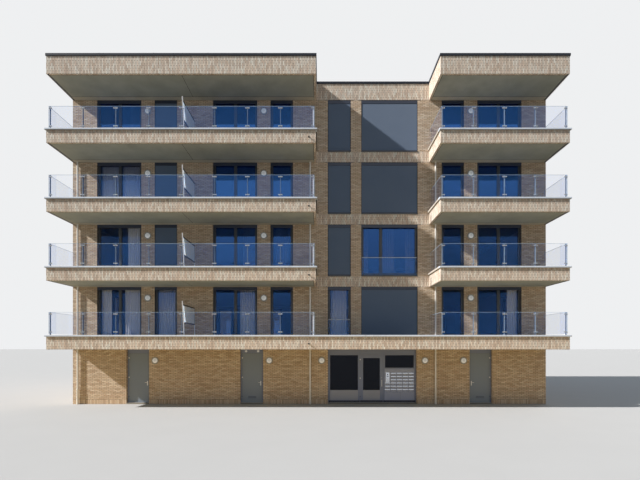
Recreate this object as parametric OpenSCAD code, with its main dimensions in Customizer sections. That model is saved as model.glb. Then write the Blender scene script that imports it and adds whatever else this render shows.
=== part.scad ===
// Apartment block: a ground storey with service doors and a glazed entrance, and apartment storeys
// above it with cantilevered, brick-faced balconies on two wings. Sizes are in millimetres.
// X runs along the front to the right, Y into the building and Z up. The origin is on the ground,
// in the middle of the outline.

/* [Body] */
// Width of the left balcony wing
left_wing_w = 11740; // [11200:10:12800]
// Width of the middle bay between the wings
bay_w = 5430; // [5000:10:6200]
// Width of the right balcony wing
right_wing_w = 5630; // [5200:10:6400]
// Depth from the front wall's face to the rear wall's face
body_d = 13000; // [10000:100:16000]
// Thickness of the brick cavity walls
wall_t = 420; // [380:5:450]
// Height from one floor to the next
storey_h = 3000; // [2900:10:3300]
// Number of apartment storeys above the ground storey
upper_storeys = 4; // [2:1:5]
// Height of the lowest balcony soffit above the ground
soffit_z = 2650; // [2600:10:2900]
// Height of the brick band between the openings of two storeys
band_h = 500; // [480:10:600]
// Height of the brick parapet and of the canopy fascias
parapet_h = 780; // [700:10:1000]
// Thickness of the concrete floors and of the roof slab
floor_t = 300; // [200:10:340]
// Height of the roof slab's underside above the top openings
roof_rise = 100; // [50:10:200]
// Thickness of the part of the ground floor that stands above the ground
ground_floor_t = 60; // [40:5:80]
// Thickness of the roofing felt with its ballast layer
roofing_t = 20; // [10:5:40]

/* [Coping] */
// Height of the metal coping at its outer edge
coping_h = 110; // [90:5:150]
// Drop of the coping towards the roof
coping_fall = 15; // [5:5:40]
// Overhang of the coping past the brickwork
coping_over = 30; // [20:5:50]

/* [Balconies] */
// Projection of the balconies in front of the wall
balcony_d = 2000; // [1600:50:2400]
// Thickness of the balconies' concrete slabs
slab_t = 300; // [200:10:340]
// Thickness of the brick fascia
fascia_t = 100; // [90:5:120]
// Height of the brick fascia below the lip
fascia_h = 555; // [520:5:640]
// Height of the concrete lip on the fascia
lip_h = 75; // [60:5:120]
// Overhang of the lip past the fascia
lip_over = 60; // [40:5:90]
// Width of the lip
lip_w = 240; // [230:10:260]
// Step down from an opening's foot to the balcony deck
deck_step = 20; // [10:5:60]

/* [Openings] */
// Width of a two-light window
wide_w = 2130; // [1900:10:2200]
// Width of a balcony door or one-light window
narrow_w = 1080; // [900:10:1100]
// Brickwork between a two-light window and its balcony door
twin_gap = 640; // [500:10:700]
// Share of the left wing's other brickwork that lies at the building's corner
left_corner_share = 0.29; // [0.2:0.01:0.4]
// Share of it that lies between its two apartments
left_middle_share = 0.43; // [0.3:0.01:0.5]
// Share of the right wing's other brickwork that lies at the building's corner
right_corner_share = 0.66; // [0.4:0.01:0.8]
// Width of the one-light window in the middle bay
bay_narrow_w = 1105; // [1000:5:1150]
// Brickwork between the two windows of the middle bay
bay_gap = 505; // [450:5:550]
// Width of the two-light window in the middle bay
bay_wide_w = 2715; // [2500:5:2750]
// Share of that window's width to the left of its mullion
bay_split = 0.35; // [0.3:0.01:0.6]
// Distance of each side window from the middle of its wall
side_window_offset = 2600; // [1500:50:3200]

/* [Windows] */
// Depth of the reveal in front of a window frame
reveal_d = 100; // [95:5:130]
// Depth of the frames
frame_d = 80; // [60:5:100]
// Width of a frame with its sash
frame_w = 110; // [70:5:130]
// Width of a mullion with the sashes beside it
mullion_w = 140; // [90:5:160]
// Thickness of the sealed glazing
pane_t = 24; // [16:2:40]
// Height of the metal sill
sill_h = 60; // [30:5:80]
// Overhang of the sill past the wall
sill_over = 28; // [10:2:28]

/* [Window guards] */
// Height of a guard's top above the foot of its opening
guard_top = 940; // [900:10:1100]
// Height and depth of the guard's cap rail
guard_cap = 28; // [20:2:28]
// Thickness of the guard's glass
guard_t = 12; // [8:2:20]
// Clearance between the guard and the window frame
guard_gap = 15; // [10:1:18]

/* [Roller screens] */
// Height of the cassette
cassette_h = 150; // [110:5:180]
// Depth of the cassette
cassette_d = 56; // [44:2:56]
// Distance of the screen parts behind the wall's face
screen_inset = 8; // [2:1:10]
// Width of a guide
guide_w = 25; // [20:1:40]
// Depth of a guide
guide_d = 32; // [20:2:40]
// Thickness of the screen cloth
cloth_t = 4; // [2:1:8]
// Height of the bottom bar
bar_h = 40; // [30:2:60]
// Depth of the bottom bar
bar_d = 18; // [12:2:24]

/* [Balustrade] */
// Height of the glass above the lip
rail_h = 1000; // [900:10:1200]
// Width of a post along the balcony
post_w = 20; // [14:2:24]
// Depth of a post
post_d = 60; // [40:2:64]
// Distance from the ends of a wing to the middle of its end posts
post_inset = 110; // [104:2:125]
// Distance of the glass's middle behind the faces of the fascia
glass_inset = 70; // [60:2:72]
// Number of bays along the left wing
left_bays = 8; // [6:2:10]
// Number of bays along the right wing
right_bays = 4; // [3:1:6]
// Thickness of the balustrade glass
rail_glass_t = 12; // [8:1:20]
// Gap between the lip and the glass
rail_gap = 50; // [20:5:80]
// Gap between neighbouring panes, in front of a post
pane_gap = 20; // [14:1:24]
// Distance that a clamp reaches to each side of a post's middle
clamp_reach = 92; // [76:2:110]
// Width of the pads at a clamp's ends
pad_w = 46; // [30:2:56]
// Thickness of the pads, and of the plate behind the glass
plate_t = 12; // [8:1:12]
// Height of a clamp
clamp_h = 46; // [34:2:60]
// Height of the bar between the pads
bridge_h = 18; // [12:2:24]
// Length of a clamp between the glass and the wall
clamp_l = 18; // [12:1:30]
// Width of a clamp at the wall
clamp_d = 30; // [24:2:50]
// Distance from the glass's edges to the clamps
clamp_margin = 60; // [30:5:120]
// Play between a clamp's web and the edges of the glass
clamp_play = 2; // [1:1:4]

/* [Balcony divider] */
// Height of the divider's leaning front bar above the lip
divider_bar_h = 1500; // [1400:10:1700]
// Distance of the front bar's foot behind the face of the fascia
divider_foot = 465; // [400:5:540]
// Distance of the front bar's head behind the face of the fascia
divider_head = 190; // [185:5:300]
// Height of the upper rail's top above the lip
divider_top = 1360; // [1250:10:1390]
// Height of the lower rail's top above the lip
divider_low = 570; // [400:10:700]
// Width and height of the rails and uprights
divider_bar = 40; // [30:2:60]
// Thickness of the frosted panel
divider_t = 10; // [6:1:20]

/* [Entrance] */
// Width of the entrance screen
entrance_w = 4280; // [4100:5:4500]
// Distance of the entrance's middle from the middle of the bay
entrance_shift = -20; // [-60:5:60]
// Depth of the reveals round the doors
door_reveal = 140; // [120:5:200]
// Depth of the door frames
door_frame_d = 80; // [60:5:100]
// Share of the entrance's glass and panels that the side light on the left takes
side_light_share = 0.492; // [0.4:0.001:0.6]
// Width of the entrance screen's outer posts
entrance_post = 90; // [60:5:110]
// Width of the two mullions beside the entrance door
entrance_mullion = 75; // [50:5:90]
// Width of the doorway between those mullions
entrance_door_w = 1125; // [1000:5:1150]
// Height of the head over the entrance door and lights
entrance_head = 280; // [200:10:320]
// Height of the bottom rails
kick_rail = 100; // [80:5:160]
// Height of the transom over the mailboxes
transom_h = 40; // [30:5:80]
// Height of that transom's top above the ground
transom_z = 1725; // [1650:5:1800]
// Thickness of the mailbox panel
mailbox_t = 50; // [30:5:60]
// Number of mailbox columns
mailbox_columns = 5; // [4:1:6]
// Number of mailbox rows
mailbox_rows = 6; // [4:1:6]
// Distance between mailbox rows
mailbox_pitch = 157; // [140:1:165]
// Height of the top row's flaps above the ground
mailbox_top = 1476; // [1400:1:1500]
// Height of a mailbox flap
flap_h = 44; // [30:2:60]
// Thickness of a flap
flap_t = 6; // [4:1:10]
// Distance of the intercom from the sides of its mailbox column
intercom_margin = 53; // [40:1:80]
// Clearance between the intercom and the mailbox flap under it
intercom_gap = 13; // [8:1:40]
// Thickness of the intercom
intercom_t = 22; // [10:2:40]

/* [Entrance door] */
// Width of the leaf's stiles and height of its top rail
leaf_stile = 130; // [80:5:150]
// Thickness of the leaf
leaf_t = 60; // [40:5:70]
// Length of the pull bar
pull_l = 320; // [200:10:600]
// Radius of the pull bar
pull_r = 16; // [12:1:20]
// Distance of the pull bar in front of the leaf
pull_out = 60; // [45:5:80]
// Height of the pull bar's middle above the ground
pull_z = 1000; // [900:10:1150]

/* [Service doors] */
// Width of a service doorway
service_w = 1100; // [1000:10:1150]
// Distance of the outer service doorways from the building's corners
service_x = 2575; // [2400:25:2700]
// Distance of the middle service doorway from the left corner
middle_service_x = 8070; // [7900:10:8300]
// Width of the service door frames
service_frame = 60; // [40:5:80]
// Height of the head over the service doors
service_head = 200; // [150:10:300]
// Thickness of the service door leaves
service_leaf_t = 50; // [40:5:60]
// Height of the handles above the ground
handle_z = 1030; // [950:10:1100]
// Distance of a handle from the leaf's free edge
handle_edge = 65; // [50:5:100]
// Length of the handle plate
handle_plate_h = 220; // [160:10:260]
// Width of the handle plate
handle_plate_w = 40; // [30:2:50]
// Thickness of the handle plate
handle_plate_t = 8; // [5:1:12]
// Length of the lever
lever_l = 120; // [90:5:140]
// Radius of the lever
lever_r = 10; // [8:1:12]
// Distance of the lever in front of the plate
lever_out = 45; // [35:5:60]
// Clearance at the sides and top of every leaf
leaf_gap = 6; // [5:1:8]
// Clearance under every leaf
leaf_foot_gap = 8; // [6:1:12]
// Width of the vent grilles near the foot of the middle and right doors
grille_w = 380; // [250:10:450]
// Height of a grille
grille_h = 100; // [60:10:140]
// Thickness of a grille
grille_t = 8; // [4:1:12]
// Height of the grilles' middle above the ground
grille_z = 320; // [200:10:350]
// Radius of the round vents over the middle service door
vent_r = 55; // [40:5:70]
// Distance of each vent from the middle of that door
vent_offset = 291; // [200:1:350]
// Thickness of a vent's cap
vent_t = 16; // [8:2:30]

/* [Hinges] */
// Radius of the knuckles
knuckle_r = 10; // [8:1:12]
// Height of a hinge
hinge_h = 100; // [80:10:140]
// Width of each hinge plate
hinge_plate_w = 36; // [30:2:40]
// Thickness of each hinge plate
hinge_plate_t = 3; // [2:1:4]
// Distance of the outer hinges from the foot and the top of a leaf
hinge_margin = 200; // [150:10:300]

/* [Fittings] */
// Radius of the round wall lamps
lamp_r = 150; // [120:5:180]
// Depth of a lamp's base ring
lamp_ring = 30; // [20:5:40]
// Depth of a lamp from the wall to the top of its dome
lamp_depth = 95; // [70:5:120]
// Height of the upper lamps above the foot of the openings
lamp_rise = 1960; // [1800:10:2100]
// Height of the ground-storey lamps
ground_lamp_z = 2100; // [1950:10:2250]
// Distance from a service doorway to the middle of its lamp
lamp_gap = 300; // [220:5:400]
// Place of the left entrance lamp, as a share of the way from the entrance to the downpipe
left_lamp_share = 0.35; // [0.3:0.01:0.5]
// Place of the right entrance lamp in the same way
right_lamp_share = 0.44; // [0.3:0.01:0.5]
// Radius of the downpipes
pipe_r = 40; // [30:1:50]
// Gap between the downpipes and the wall
pipe_gap = 30; // [20:5:50]
// Distance of the left downpipe from the left corner
pipe_left = 270; // [250:5:400]
// Distance of the inner downpipes from the wings' inner edges
pipe_inner = 300; // [260:5:400]
// Radius of the overflow spouts
spout_r = 24; // [18:1:30]
// Radius of a spout's bore
spout_bore = 19; // [12:1:17]
// Length of a spout
spout_l = 80; // [50:5:120]
// Height of a spout above the soffit
spout_rise = 250; // [200:10:300]

/* [Hidden] */
$fn = 48;

// Outline of the building
building_w = left_wing_w + bay_w + right_wing_w;
left_x = -building_w / 2;
right_x = building_w / 2;
front_y = (balcony_d + max(lip_over, spout_l) - coping_over - body_d) / 2;
rear_y = front_y + body_d;
middle_y = (front_y + rear_y) / 2;
balcony_y = front_y - balcony_d;
left_wing_x = left_x + left_wing_w;
right_wing_x = right_x - right_wing_w;
wings = [[left_x, left_wing_x, left_bays], [right_wing_x, right_x, right_bays]];
side_wall_l = body_d - 2 * wall_t;

// Levels of a storey, counted from 0 for the first apartment storey
opening_h = storey_h - band_h;
function storey_z(k) = soffit_z + k * storey_h;
function opening_z(k) = storey_z(k) + band_h;
function deck_z(k) = opening_z(k) - deck_step;
function lip_z(k) = storey_z(k) + fascia_h + lip_h;
roof_z = storey_z(upper_storeys);
coping_z = roof_z + parapet_h;

// Openings along a wall: distance of the left edge from the wall's middle, width, share left of the mullion
flat_w = wide_w + twin_gap + narrow_w;
left_free_w = left_wing_w - 2 * flat_w;
first_x = left_x + left_free_w * left_corner_share;
second_x = first_x + flat_w + left_free_w * left_middle_share;
bay_x = left_wing_x + (bay_w - bay_narrow_w - bay_gap - bay_wide_w) / 2;
last_x = right_x - (right_wing_w - flat_w) * right_corner_share - wide_w;
wing_openings = [
    [first_x, wide_w, 0.5],
    [first_x + wide_w + twin_gap, narrow_w, 0],
    [second_x, wide_w, 0.5],
    [second_x + wide_w + twin_gap, narrow_w, 0]
];
wide_bay_opening = [bay_x + bay_narrow_w + bay_gap, bay_wide_w, bay_split];
bay_openings = [[bay_x, bay_narrow_w, 0], wide_bay_opening];
right_openings = [
    [last_x - twin_gap - narrow_w, narrow_w, 0],
    [last_x, wide_w, 0.5]
];
upper_openings = concat(wing_openings, bay_openings, right_openings);
rear_openings = concat(wing_openings, [wide_bay_opening], right_openings);
side_openings = [for (s = [-1, 1]) [s * side_window_offset - narrow_w / 2, narrow_w, 0]];

// Doorways in the front wall: left edge and width
left_door_x = left_x + service_x;
middle_door_x = left_x + middle_service_x;
right_door_x = right_x - service_x - service_w;
entrance_x = left_wing_x + (bay_w - entrance_w) / 2 + entrance_shift;
doorways = [
    [left_door_x, service_w],
    [middle_door_x, service_w],
    [entrance_x, entrance_w],
    [right_door_x, service_w]
];

// Screens that are let down: index of the opening, and the storeys
screened = [[1, [1, 2, 3]], [4, [1, 2, 3]], [5, [0, 2, 3]]];

// Entrance screen, from left to right
entrance_free_w = entrance_w - 2 * (entrance_post + entrance_mullion) - entrance_door_w;
side_light_w = entrance_free_w * side_light_share;
entrance_mullion_x = entrance_x + entrance_post + side_light_w;
entrance_door_x = entrance_mullion_x + entrance_mullion;
second_mullion_x = entrance_door_x + entrance_door_w;
mailbox_x = second_mullion_x + entrance_mullion;
entrance_end_x = entrance_x + entrance_w;
mailbox_w = entrance_end_x - entrance_post - mailbox_x;
column_w = mailbox_w / mailbox_columns;
entrance_head_z = soffit_z - entrance_head;
service_head_z = soffit_z - service_head;
mailbox_face = door_reveal + (door_frame_d - mailbox_t) / 2;

// Colours
brick = "#b09a7c";
concrete = "#a8a59a";
pale_stone = "#c9c6bb";
anthracite = "#3c4046";
door_grey = "#595d61";
glass_blue = [0.45, 0.6, 0.75, 0.45];
frosted = [0.8, 0.88, 0.92, 0.8];
steel = "#b9bcbe";
lamp_white = "#e4e4de";

// A block between two corners
module block(x0, x1, y0, y1, z0, z1) {
    translate([x0, y0, z0]) cube([x1 - x0, y1 - y0, z1 - z0]);
}

// Wall frames: local X runs along the wall as seen from outside, local Y into the wall
module at_front() { translate([0, front_y, 0]) children(); }
module at_rear() { translate([0, rear_y, 0]) rotate(180) children(); }
module at_left() { translate([left_x, middle_y, 0]) rotate(-90) children(); }
module at_right() { translate([right_x, middle_y, 0]) rotate(90) children(); }
module at_sides() {
    at_left() children();
    at_right() children();
}

// Brickwork between the openings of one storey of a wall
module piers(u0, u1, openings, z0, z1) {
    starts = concat([u0], [for (o = openings) o[0] + o[1]]);
    ends = concat([for (o = openings) o[0]], [u1]);
    for (i = [0 : len(starts) - 1]) block(starts[i], ends[i], 0, wall_t, z0, z1);
}

// Piers of all the apartment storeys of a wall
module upper_piers(u0, u1, openings) {
    for (k = [0 : upper_storeys - 1])
        piers(u0, u1, openings, opening_z(k), storey_z(k + 1));
}

// Bands between the storeys, and the parapet
module bands(u0, u1) {
    for (k = [0 : upper_storeys - 1]) block(u0, u1, 0, wall_t, storey_z(k), opening_z(k));
    block(u0, u1, 0, wall_t, roof_z, coping_z);
}

// Space inside the walls at one level
module inner_slab(z0, z1) {
    block(left_x + wall_t, right_x - wall_t, front_y + wall_t, rear_y - wall_t, z0, z1);
}

module ground_floor() {
    color(concrete) inner_slab(0, ground_floor_t);
}

module thresholds() {
    color(concrete) at_front()
        for (d = doorways) block(d[0], d[0] + d[1], 0, wall_t, 0, ground_floor_t);
}

module floor_slabs() {
    color(concrete)
        for (k = [0 : upper_storeys - 1]) inner_slab(opening_z(k) - floor_t, opening_z(k));
}

module roof_slab() {
    color(concrete) inner_slab(roof_z + roof_rise, roof_z + roof_rise + floor_t);
}

module roofing() {
    color(anthracite) {
        inner_slab(roof_z + roof_rise + floor_t, roof_z + roof_rise + floor_t + roofing_t);
        for (w = wings) slab_layer(w[0], w[1], roof_z + slab_t, roof_z + slab_t + roofing_t);
        slab_layer(left_wing_x - fascia_t, right_wing_x + fascia_t, soffit_z + slab_t,
            soffit_z + slab_t + roofing_t);
    }
}

module front_wall_piers() {
    color(brick) at_front() {
        piers(left_x, right_x, doorways, 0, soffit_z);
        upper_piers(left_x, right_x, upper_openings);
    }
}

module front_wall_bands() {
    color(brick) at_front() bands(left_x, right_x);
}

module rear_wall_piers() {
    color(brick) at_rear() {
        block(left_x, right_x, 0, wall_t, 0, soffit_z);
        upper_piers(left_x, right_x, rear_openings);
    }
}

module rear_wall_bands() {
    color(brick) at_rear() bands(left_x, right_x);
}

module side_wall_piers() {
    color(brick) at_sides() {
        block(-side_wall_l / 2, side_wall_l / 2, 0, wall_t, 0, soffit_z);
        upper_piers(-side_wall_l / 2, side_wall_l / 2, side_openings);
    }
}

module side_wall_bands() {
    color(brick) at_sides() bands(-side_wall_l / 2, side_wall_l / 2);
}

// A length of coping over brickwork of the given thickness, its outer edge on the wall's face
module coping(u0, u1, t) {
    w = t + 2 * coping_over;
    translate([u0, -coping_over, coping_z]) rotate([90, 0, 90])
        linear_extrude(u1 - u0)
            polygon([[0, 0], [w, 0], [w, coping_h - coping_fall], [0, coping_h]]);
}

module coping_runs() {
    color(anthracite) {
        at_front() coping(left_x - coping_over, right_x + coping_over, wall_t);
        at_rear() coping(left_x - coping_over, right_x + coping_over, wall_t);
        for (w = wings)
            translate([0, balcony_y, 0]) coping(w[0] - coping_over, w[1] + coping_over, fascia_t);
    }
}

module coping_returns() {
    side_end = side_wall_l / 2 - coping_over;
    canopy_start = -balcony_d + fascia_t + coping_over;
    color(anthracite) {
        at_sides() coping(-side_end, side_end, wall_t);
        for (w = wings) {
            translate([w[0], front_y, 0]) rotate(-90) coping(coping_over, -canopy_start, fascia_t);
            translate([w[1], front_y, 0]) rotate(90) coping(canopy_start, -coping_over, fascia_t);
        }
    }
}

// A layer on a balcony, inside its fascias
module slab_layer(x0, x1, z0, z1) {
    block(x0 + fascia_t, x1 - fascia_t, balcony_y + fascia_t, front_y, z0, z1);
}

// Stretches of balcony on a level: the lowest one runs on over the entrance
function spans(k) = k == 0 ? [[left_x, right_x]] : [for (w = wings) [w[0], w[1]]];

module balcony_slabs() {
    color(concrete)
        for (k = [0 : upper_storeys])
            for (s = spans(k)) slab_layer(s[0], s[1], storey_z(k), storey_z(k) + slab_t);
}

module balcony_decks() {
    color(pale_stone)
        for (k = [0 : upper_storeys - 1])
            for (w = wings) slab_layer(w[0], w[1], storey_z(k) + slab_t, deck_z(k));
}

function fascia_top(k) = k == upper_storeys ? coping_z : storey_z(k) + fascia_h;

module fascia_fronts() {
    color(brick)
        for (k = [0 : upper_storeys])
            for (s = spans(k))
                block(s[0], s[1], balcony_y, balcony_y + fascia_t, storey_z(k), fascia_top(k));
}

// Over the entrance the lowest fascia runs on, so the inner returns there stand on the slab
module fascia_returns() {
    inner_foot = soffit_z + slab_t;
    color(brick)
        for (k = [0 : upper_storeys]) {
            foot = k == 0 ? inner_foot : storey_z(k);
            fascia_return(left_x, storey_z(k), fascia_top(k));
            fascia_return(left_wing_x - fascia_t, foot, fascia_top(k));
            fascia_return(right_wing_x, foot, fascia_top(k));
            fascia_return(right_x - fascia_t, storey_z(k), fascia_top(k));
        }
}

module fascia_return(x, z0, z1) {
    block(x, x + fascia_t, balcony_y + fascia_t, front_y, z0, z1);
}

module lip_fronts() {
    y = balcony_y - lip_over;
    color(pale_stone)
        for (k = [0 : upper_storeys - 1])
            for (s = spans(k))
                block(s[0] - lip_over, s[1] + lip_over, y, y + lip_w, lip_z(k) - lip_h, lip_z(k));
}

module lip_returns() {
    y = balcony_y - lip_over + lip_w;
    color(pale_stone)
        for (k = [0 : upper_storeys - 1])
            for (w = wings) {
                block(w[0] - lip_over, w[0] - lip_over + lip_w, y, front_y, lip_z(k) - lip_h, lip_z(k));
                block(w[1] + lip_over - lip_w, w[1] + lip_over, y, front_y, lip_z(k) - lip_h, lip_z(k));
            }
}

// Balustrade: glass along the front and the returns, with posts close behind it
glass_y = balcony_y + glass_inset;
post_y = glass_y + rail_glass_t / 2 + plate_t + post_d / 2;
function bay_w(w) = (w[1] - w[0] - 2 * post_inset) / w[2];
function post_x(w, i) = w[0] + post_inset + i * bay_w(w);
// Middle of the glass along the left return (-1) or the right one (1) of a wing
function return_x(w, side) = side < 0 ? w[0] + glass_inset : w[1] - glass_inset;
divider_index = floor(left_bays / 2);
divider_x = post_x(wings[0], divider_index);
clamp_levels = [rail_gap + clamp_margin, rail_h - clamp_margin - clamp_h];

module balustrade_posts() {
    color(steel)
        for (k = [0 : upper_storeys - 1])
            for (w = wings)
                for (i = [0 : w[2]])
                    translate([post_x(w, i), post_y, lip_z(k)])
                        block(-post_w / 2, post_w / 2, -post_d / 2, post_d / 2, 0, rail_h);
}

// The end panes reach on past the end posts, to a gap beside the returns' glass
function pane_start(w, i) =
    i == 0 ? return_x(w, -1) + rail_glass_t / 2 + pane_gap : post_x(w, i) + pane_gap / 2;
function pane_end(w, i) =
    i == w[2] - 1 ? return_x(w, 1) - rail_glass_t / 2 - pane_gap : post_x(w, i + 1) - pane_gap / 2;

module balustrade_glass() {
    t = rail_glass_t / 2;
    color(glass_blue)
        for (k = [0 : upper_storeys - 1]) {
            z0 = lip_z(k) + rail_gap;
            z1 = lip_z(k) + rail_h;
            for (w = wings) {
                for (i = [0 : w[2] - 1])
                    block(pane_start(w, i), pane_end(w, i), glass_y - t, glass_y + t, z0, z1);
                for (side = [-1, 1])
                    block(return_x(w, side) - t, return_x(w, side) + t, glass_y - t,
                        front_y - clamp_l, z0, z1);
            }
        }
}

// One clamp at a joint: a plate behind the glass, a web through the gap and a bar with pads in front
module joint_clamp(plate, web, bar, pads) {
    t = rail_glass_t / 2;
    block(plate[0], plate[1], t, t + plate_t, 0, clamp_h);
    block(web[0], web[1], -t - plate_t / 2, t + plate_t / 2, 0, clamp_h);
    block(bar[0], bar[1], -t - plate_t, -t, (clamp_h - bridge_h) / 2, (clamp_h + bridge_h) / 2);
    for (pad = pads)
        block(pad, pad + pad_w, -t - plate_t, -t, 0, clamp_h);
}

// At a post between two panes
module middle_clamp() {
    r = clamp_reach;
    web = pane_gap / 2 - clamp_play;
    joint_clamp([-r, r], [-web, web], [-r, r], [-r, r - pad_w]);
}

// At the left end post, where the return's glass is held too
module end_clamp() {
    r = clamp_reach;
    inner = glass_inset + rail_glass_t / 2 - post_inset;
    start = inner + clamp_play;
    joint_clamp([inner, r], [start, inner + pane_gap - clamp_play], [start, r], [r - pad_w]);
    block(inner, -post_w / 2, rail_glass_t / 2, post_y - glass_y, 0, clamp_h);
}

module glass_clamps() {
    d = clamp_d / 2;
    color(steel)
        for (k = [0 : upper_storeys - 1])
            for (w = wings)
                for (level = clamp_levels) {
                    translate([0, 0, lip_z(k) + level]) {
                        for (i = [1 : w[2] - 1])
                            translate([post_x(w, i), glass_y, 0]) middle_clamp();
                        translate([post_x(w, 0), glass_y, 0]) end_clamp();
                        translate([post_x(w, w[2]), glass_y, 0]) mirror([1, 0, 0]) end_clamp();
                        for (side = [-1, 1])
                            block(return_x(w, side) - d, return_x(w, side) + d, front_y - clamp_l,
                                front_y, 0, clamp_h);
                    }
                }
}

// Divider between the two apartments of the left wing, behind a front bar that leans out
divider_z = [deck_z(0) - lip_z(0), divider_bar_h];
divider_lean = (divider_head - divider_foot) / (divider_z[1] - divider_z[0]);
function bar_back(z) = balcony_y + divider_foot + (z - divider_z[0]) * divider_lean + divider_bar / 2;

// A slab across X with its outline given in Y and Z
module side_plate(t, points) {
    translate([divider_x - t / 2, 0, 0]) rotate([90, 0, 90]) linear_extrude(t) polygon(points);
}

// A piece that runs back from the front bar to y, between two heights above the lip
module behind_bar(t, y, z0, z1) {
    side_plate(t, [[bar_back(z0), z0], [y, z0], [y, z1], [bar_back(z1), z1]]);
}

module divider_rails() {
    color(anthracite)
        for (k = [0 : upper_storeys - 1])
            translate([0, 0, lip_z(k)])
                for (top = [divider_low, divider_top])
                    behind_bar(divider_bar, front_y, top - divider_bar, top);
}

module divider_uprights() {
    b = divider_bar;
    z = divider_z;
    color(steel)
        for (k = [0 : upper_storeys - 1])
            translate([0, 0, lip_z(k)]) {
                side_plate(b, [
                    [bar_back(z[0]) - b, z[0]],
                    [bar_back(z[0]), z[0]],
                    [bar_back(z[1]), z[1]],
                    [bar_back(z[1]) - b, z[1]]
                ]);
                block(divider_x - b / 2, divider_x + b / 2, front_y - b, front_y, z[0], divider_low - b);
                block(divider_x - b / 2, divider_x + b / 2, front_y - b, front_y, divider_low,
                    divider_top - b);
            }
}

module divider_panels() {
    color(frosted)
        for (k = [0 : upper_storeys - 1])
            translate([0, 0, lip_z(k)])
                behind_bar(divider_t, front_y - divider_bar, divider_low, divider_top - divider_bar);
}

module overflow_spouts() {
    color(steel)
        for (k = [0 : upper_storeys - 1])
            translate([left_wing_x - pipe_inner, balcony_y, storey_z(k) + spout_rise])
                rotate([90, 0, 0]) difference() {
                    cylinder(r = spout_r, h = spout_l);
                    translate([0, 0, -1]) cylinder(r = spout_bore, h = spout_l + 2);
                }
}

module downpipes() {
    y = front_y - pipe_gap - pipe_r;
    color(steel)
        for (x = [left_x + pipe_left, left_wing_x - pipe_inner, right_wing_x + pipe_inner]) {
            translate([x, y, 0]) cylinder(r = pipe_r, h = soffit_z);
            for (k = [0 : upper_storeys - 2])
                translate([x, y, deck_z(k)]) cylinder(r = pipe_r, h = storey_z(k + 1) - deck_z(k));
        }
}

// A lamp with its dome, standing out of the wall
module lamp(x, z) {
    cap = lamp_depth - lamp_ring;
    dome_r = (lamp_r * lamp_r + cap * cap) / (2 * cap);
    translate([x, front_y, z]) rotate([90, 0, 0]) rotate_extrude()
        intersection() {
            square([lamp_r, lamp_depth]);
            translate([0, lamp_depth - dome_r]) circle(r = dome_r, $fn = 256);
        }
}

module wall_lamps() {
    left_reach = entrance_x - (left_wing_x - pipe_inner);
    right_reach = right_wing_x + pipe_inner - entrance_end_x;
    door_lamps = [
        left_door_x + service_w + lamp_gap,
        middle_door_x + service_w + lamp_gap,
        entrance_x - left_reach * left_lamp_share,
        entrance_end_x + right_reach * right_lamp_share,
        right_door_x - lamp_gap
    ];
    twin_lamps = [
        first_x + wide_w + twin_gap / 2,
        second_x + wide_w + twin_gap / 2,
        last_x - twin_gap / 2
    ];
    color(lamp_white) {
        for (x = door_lamps) lamp(x, ground_lamp_z);
        for (k = [0 : upper_storeys - 1])
            for (x = twin_lamps) lamp(x, opening_z(k) + lamp_rise);
    }
}

// Windows: every child is drawn once for each opening, in the frame of its wall
module each_window() {
    for (k = [0 : upper_storeys - 1]) {
        at_front() for ($o = upper_openings) translate([$o[0], 0, opening_z(k)]) children();
        at_rear() for ($o = rear_openings) translate([$o[0], 0, opening_z(k)]) children();
        at_sides() for ($o = side_openings) translate([$o[0], 0, opening_z(k)]) children();
    }
}

// Lights of a window: start and end of each, between its stiles and mullion
function lights(o) = o[2] == 0
    ? [[frame_w, o[1] - frame_w]]
    : [[frame_w, o[1] * o[2] - mullion_w / 2], [o[1] * o[2] + mullion_w / 2, o[1] - frame_w]];

module window_sills() {
    color(anthracite) each_window()
        block(0, $o[1], -sill_over, reveal_d + frame_d, 0, sill_h);
}

module window_stiles() {
    color(anthracite) each_window() {
        inner = lights($o);
        last = len(inner) - 1;
        stile(0, inner[0][0]);
        stile(inner[last][1], $o[1]);
        if (last > 0) stile(inner[0][1], inner[1][0]);
    }
}

module stile(u0, u1) {
    block(u0, u1, reveal_d, reveal_d + frame_d, sill_h, opening_h);
}

module window_rails() {
    color(anthracite) each_window()
        for (l = lights($o))
            for (z = [sill_h, opening_h - frame_w])
                block(l[0], l[1], reveal_d, reveal_d + frame_d, z, z + frame_w);
}

module window_panes() {
    v = reveal_d + (frame_d - pane_t) / 2;
    color(glass_blue) each_window()
        for (l = lights($o))
            block(l[0], l[1], v, v + pane_t, sill_h + frame_w, opening_h - frame_w);
}

// Guards: a pane across each opening that has no balcony in front of it
module each_guard() {
    for (k = [0 : upper_storeys - 1]) {
        at_front() for ($o = bay_openings) translate([$o[0], 0, opening_z(k)]) children();
        at_rear() for ($o = rear_openings) translate([$o[0], 0, opening_z(k)]) children();
        at_sides() for ($o = side_openings) translate([$o[0], 0, opening_z(k)]) children();
    }
}

guard_v = reveal_d - guard_gap - guard_t / 2;

module guard_glass() {
    color(glass_blue) each_guard()
        block(0, $o[1], guard_v - guard_t / 2, guard_v + guard_t / 2, sill_h, guard_top - guard_cap);
}

module guard_caps() {
    color(steel) each_guard()
        block(0, $o[1], guard_v - guard_cap / 2, guard_v + guard_cap / 2,
            guard_top - guard_cap, guard_top);
}

// Roller screens: a cassette and guides at every opening of the front, and some screens let down
module each_cassette() {
    for (k = [0 : upper_storeys - 1])
        at_front()
            for ($o = upper_openings)
                translate([$o[0], screen_inset, opening_z(k)]) children();
}

module each_screen() {
    at_front()
        for (s = screened)
            for (k = s[1])
                if (k < upper_storeys) {
                    $o = upper_openings[s[0]];
                    translate([$o[0], screen_inset, opening_z(k)]) children();
                }
}

cloth_v = guide_d / 2;

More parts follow.
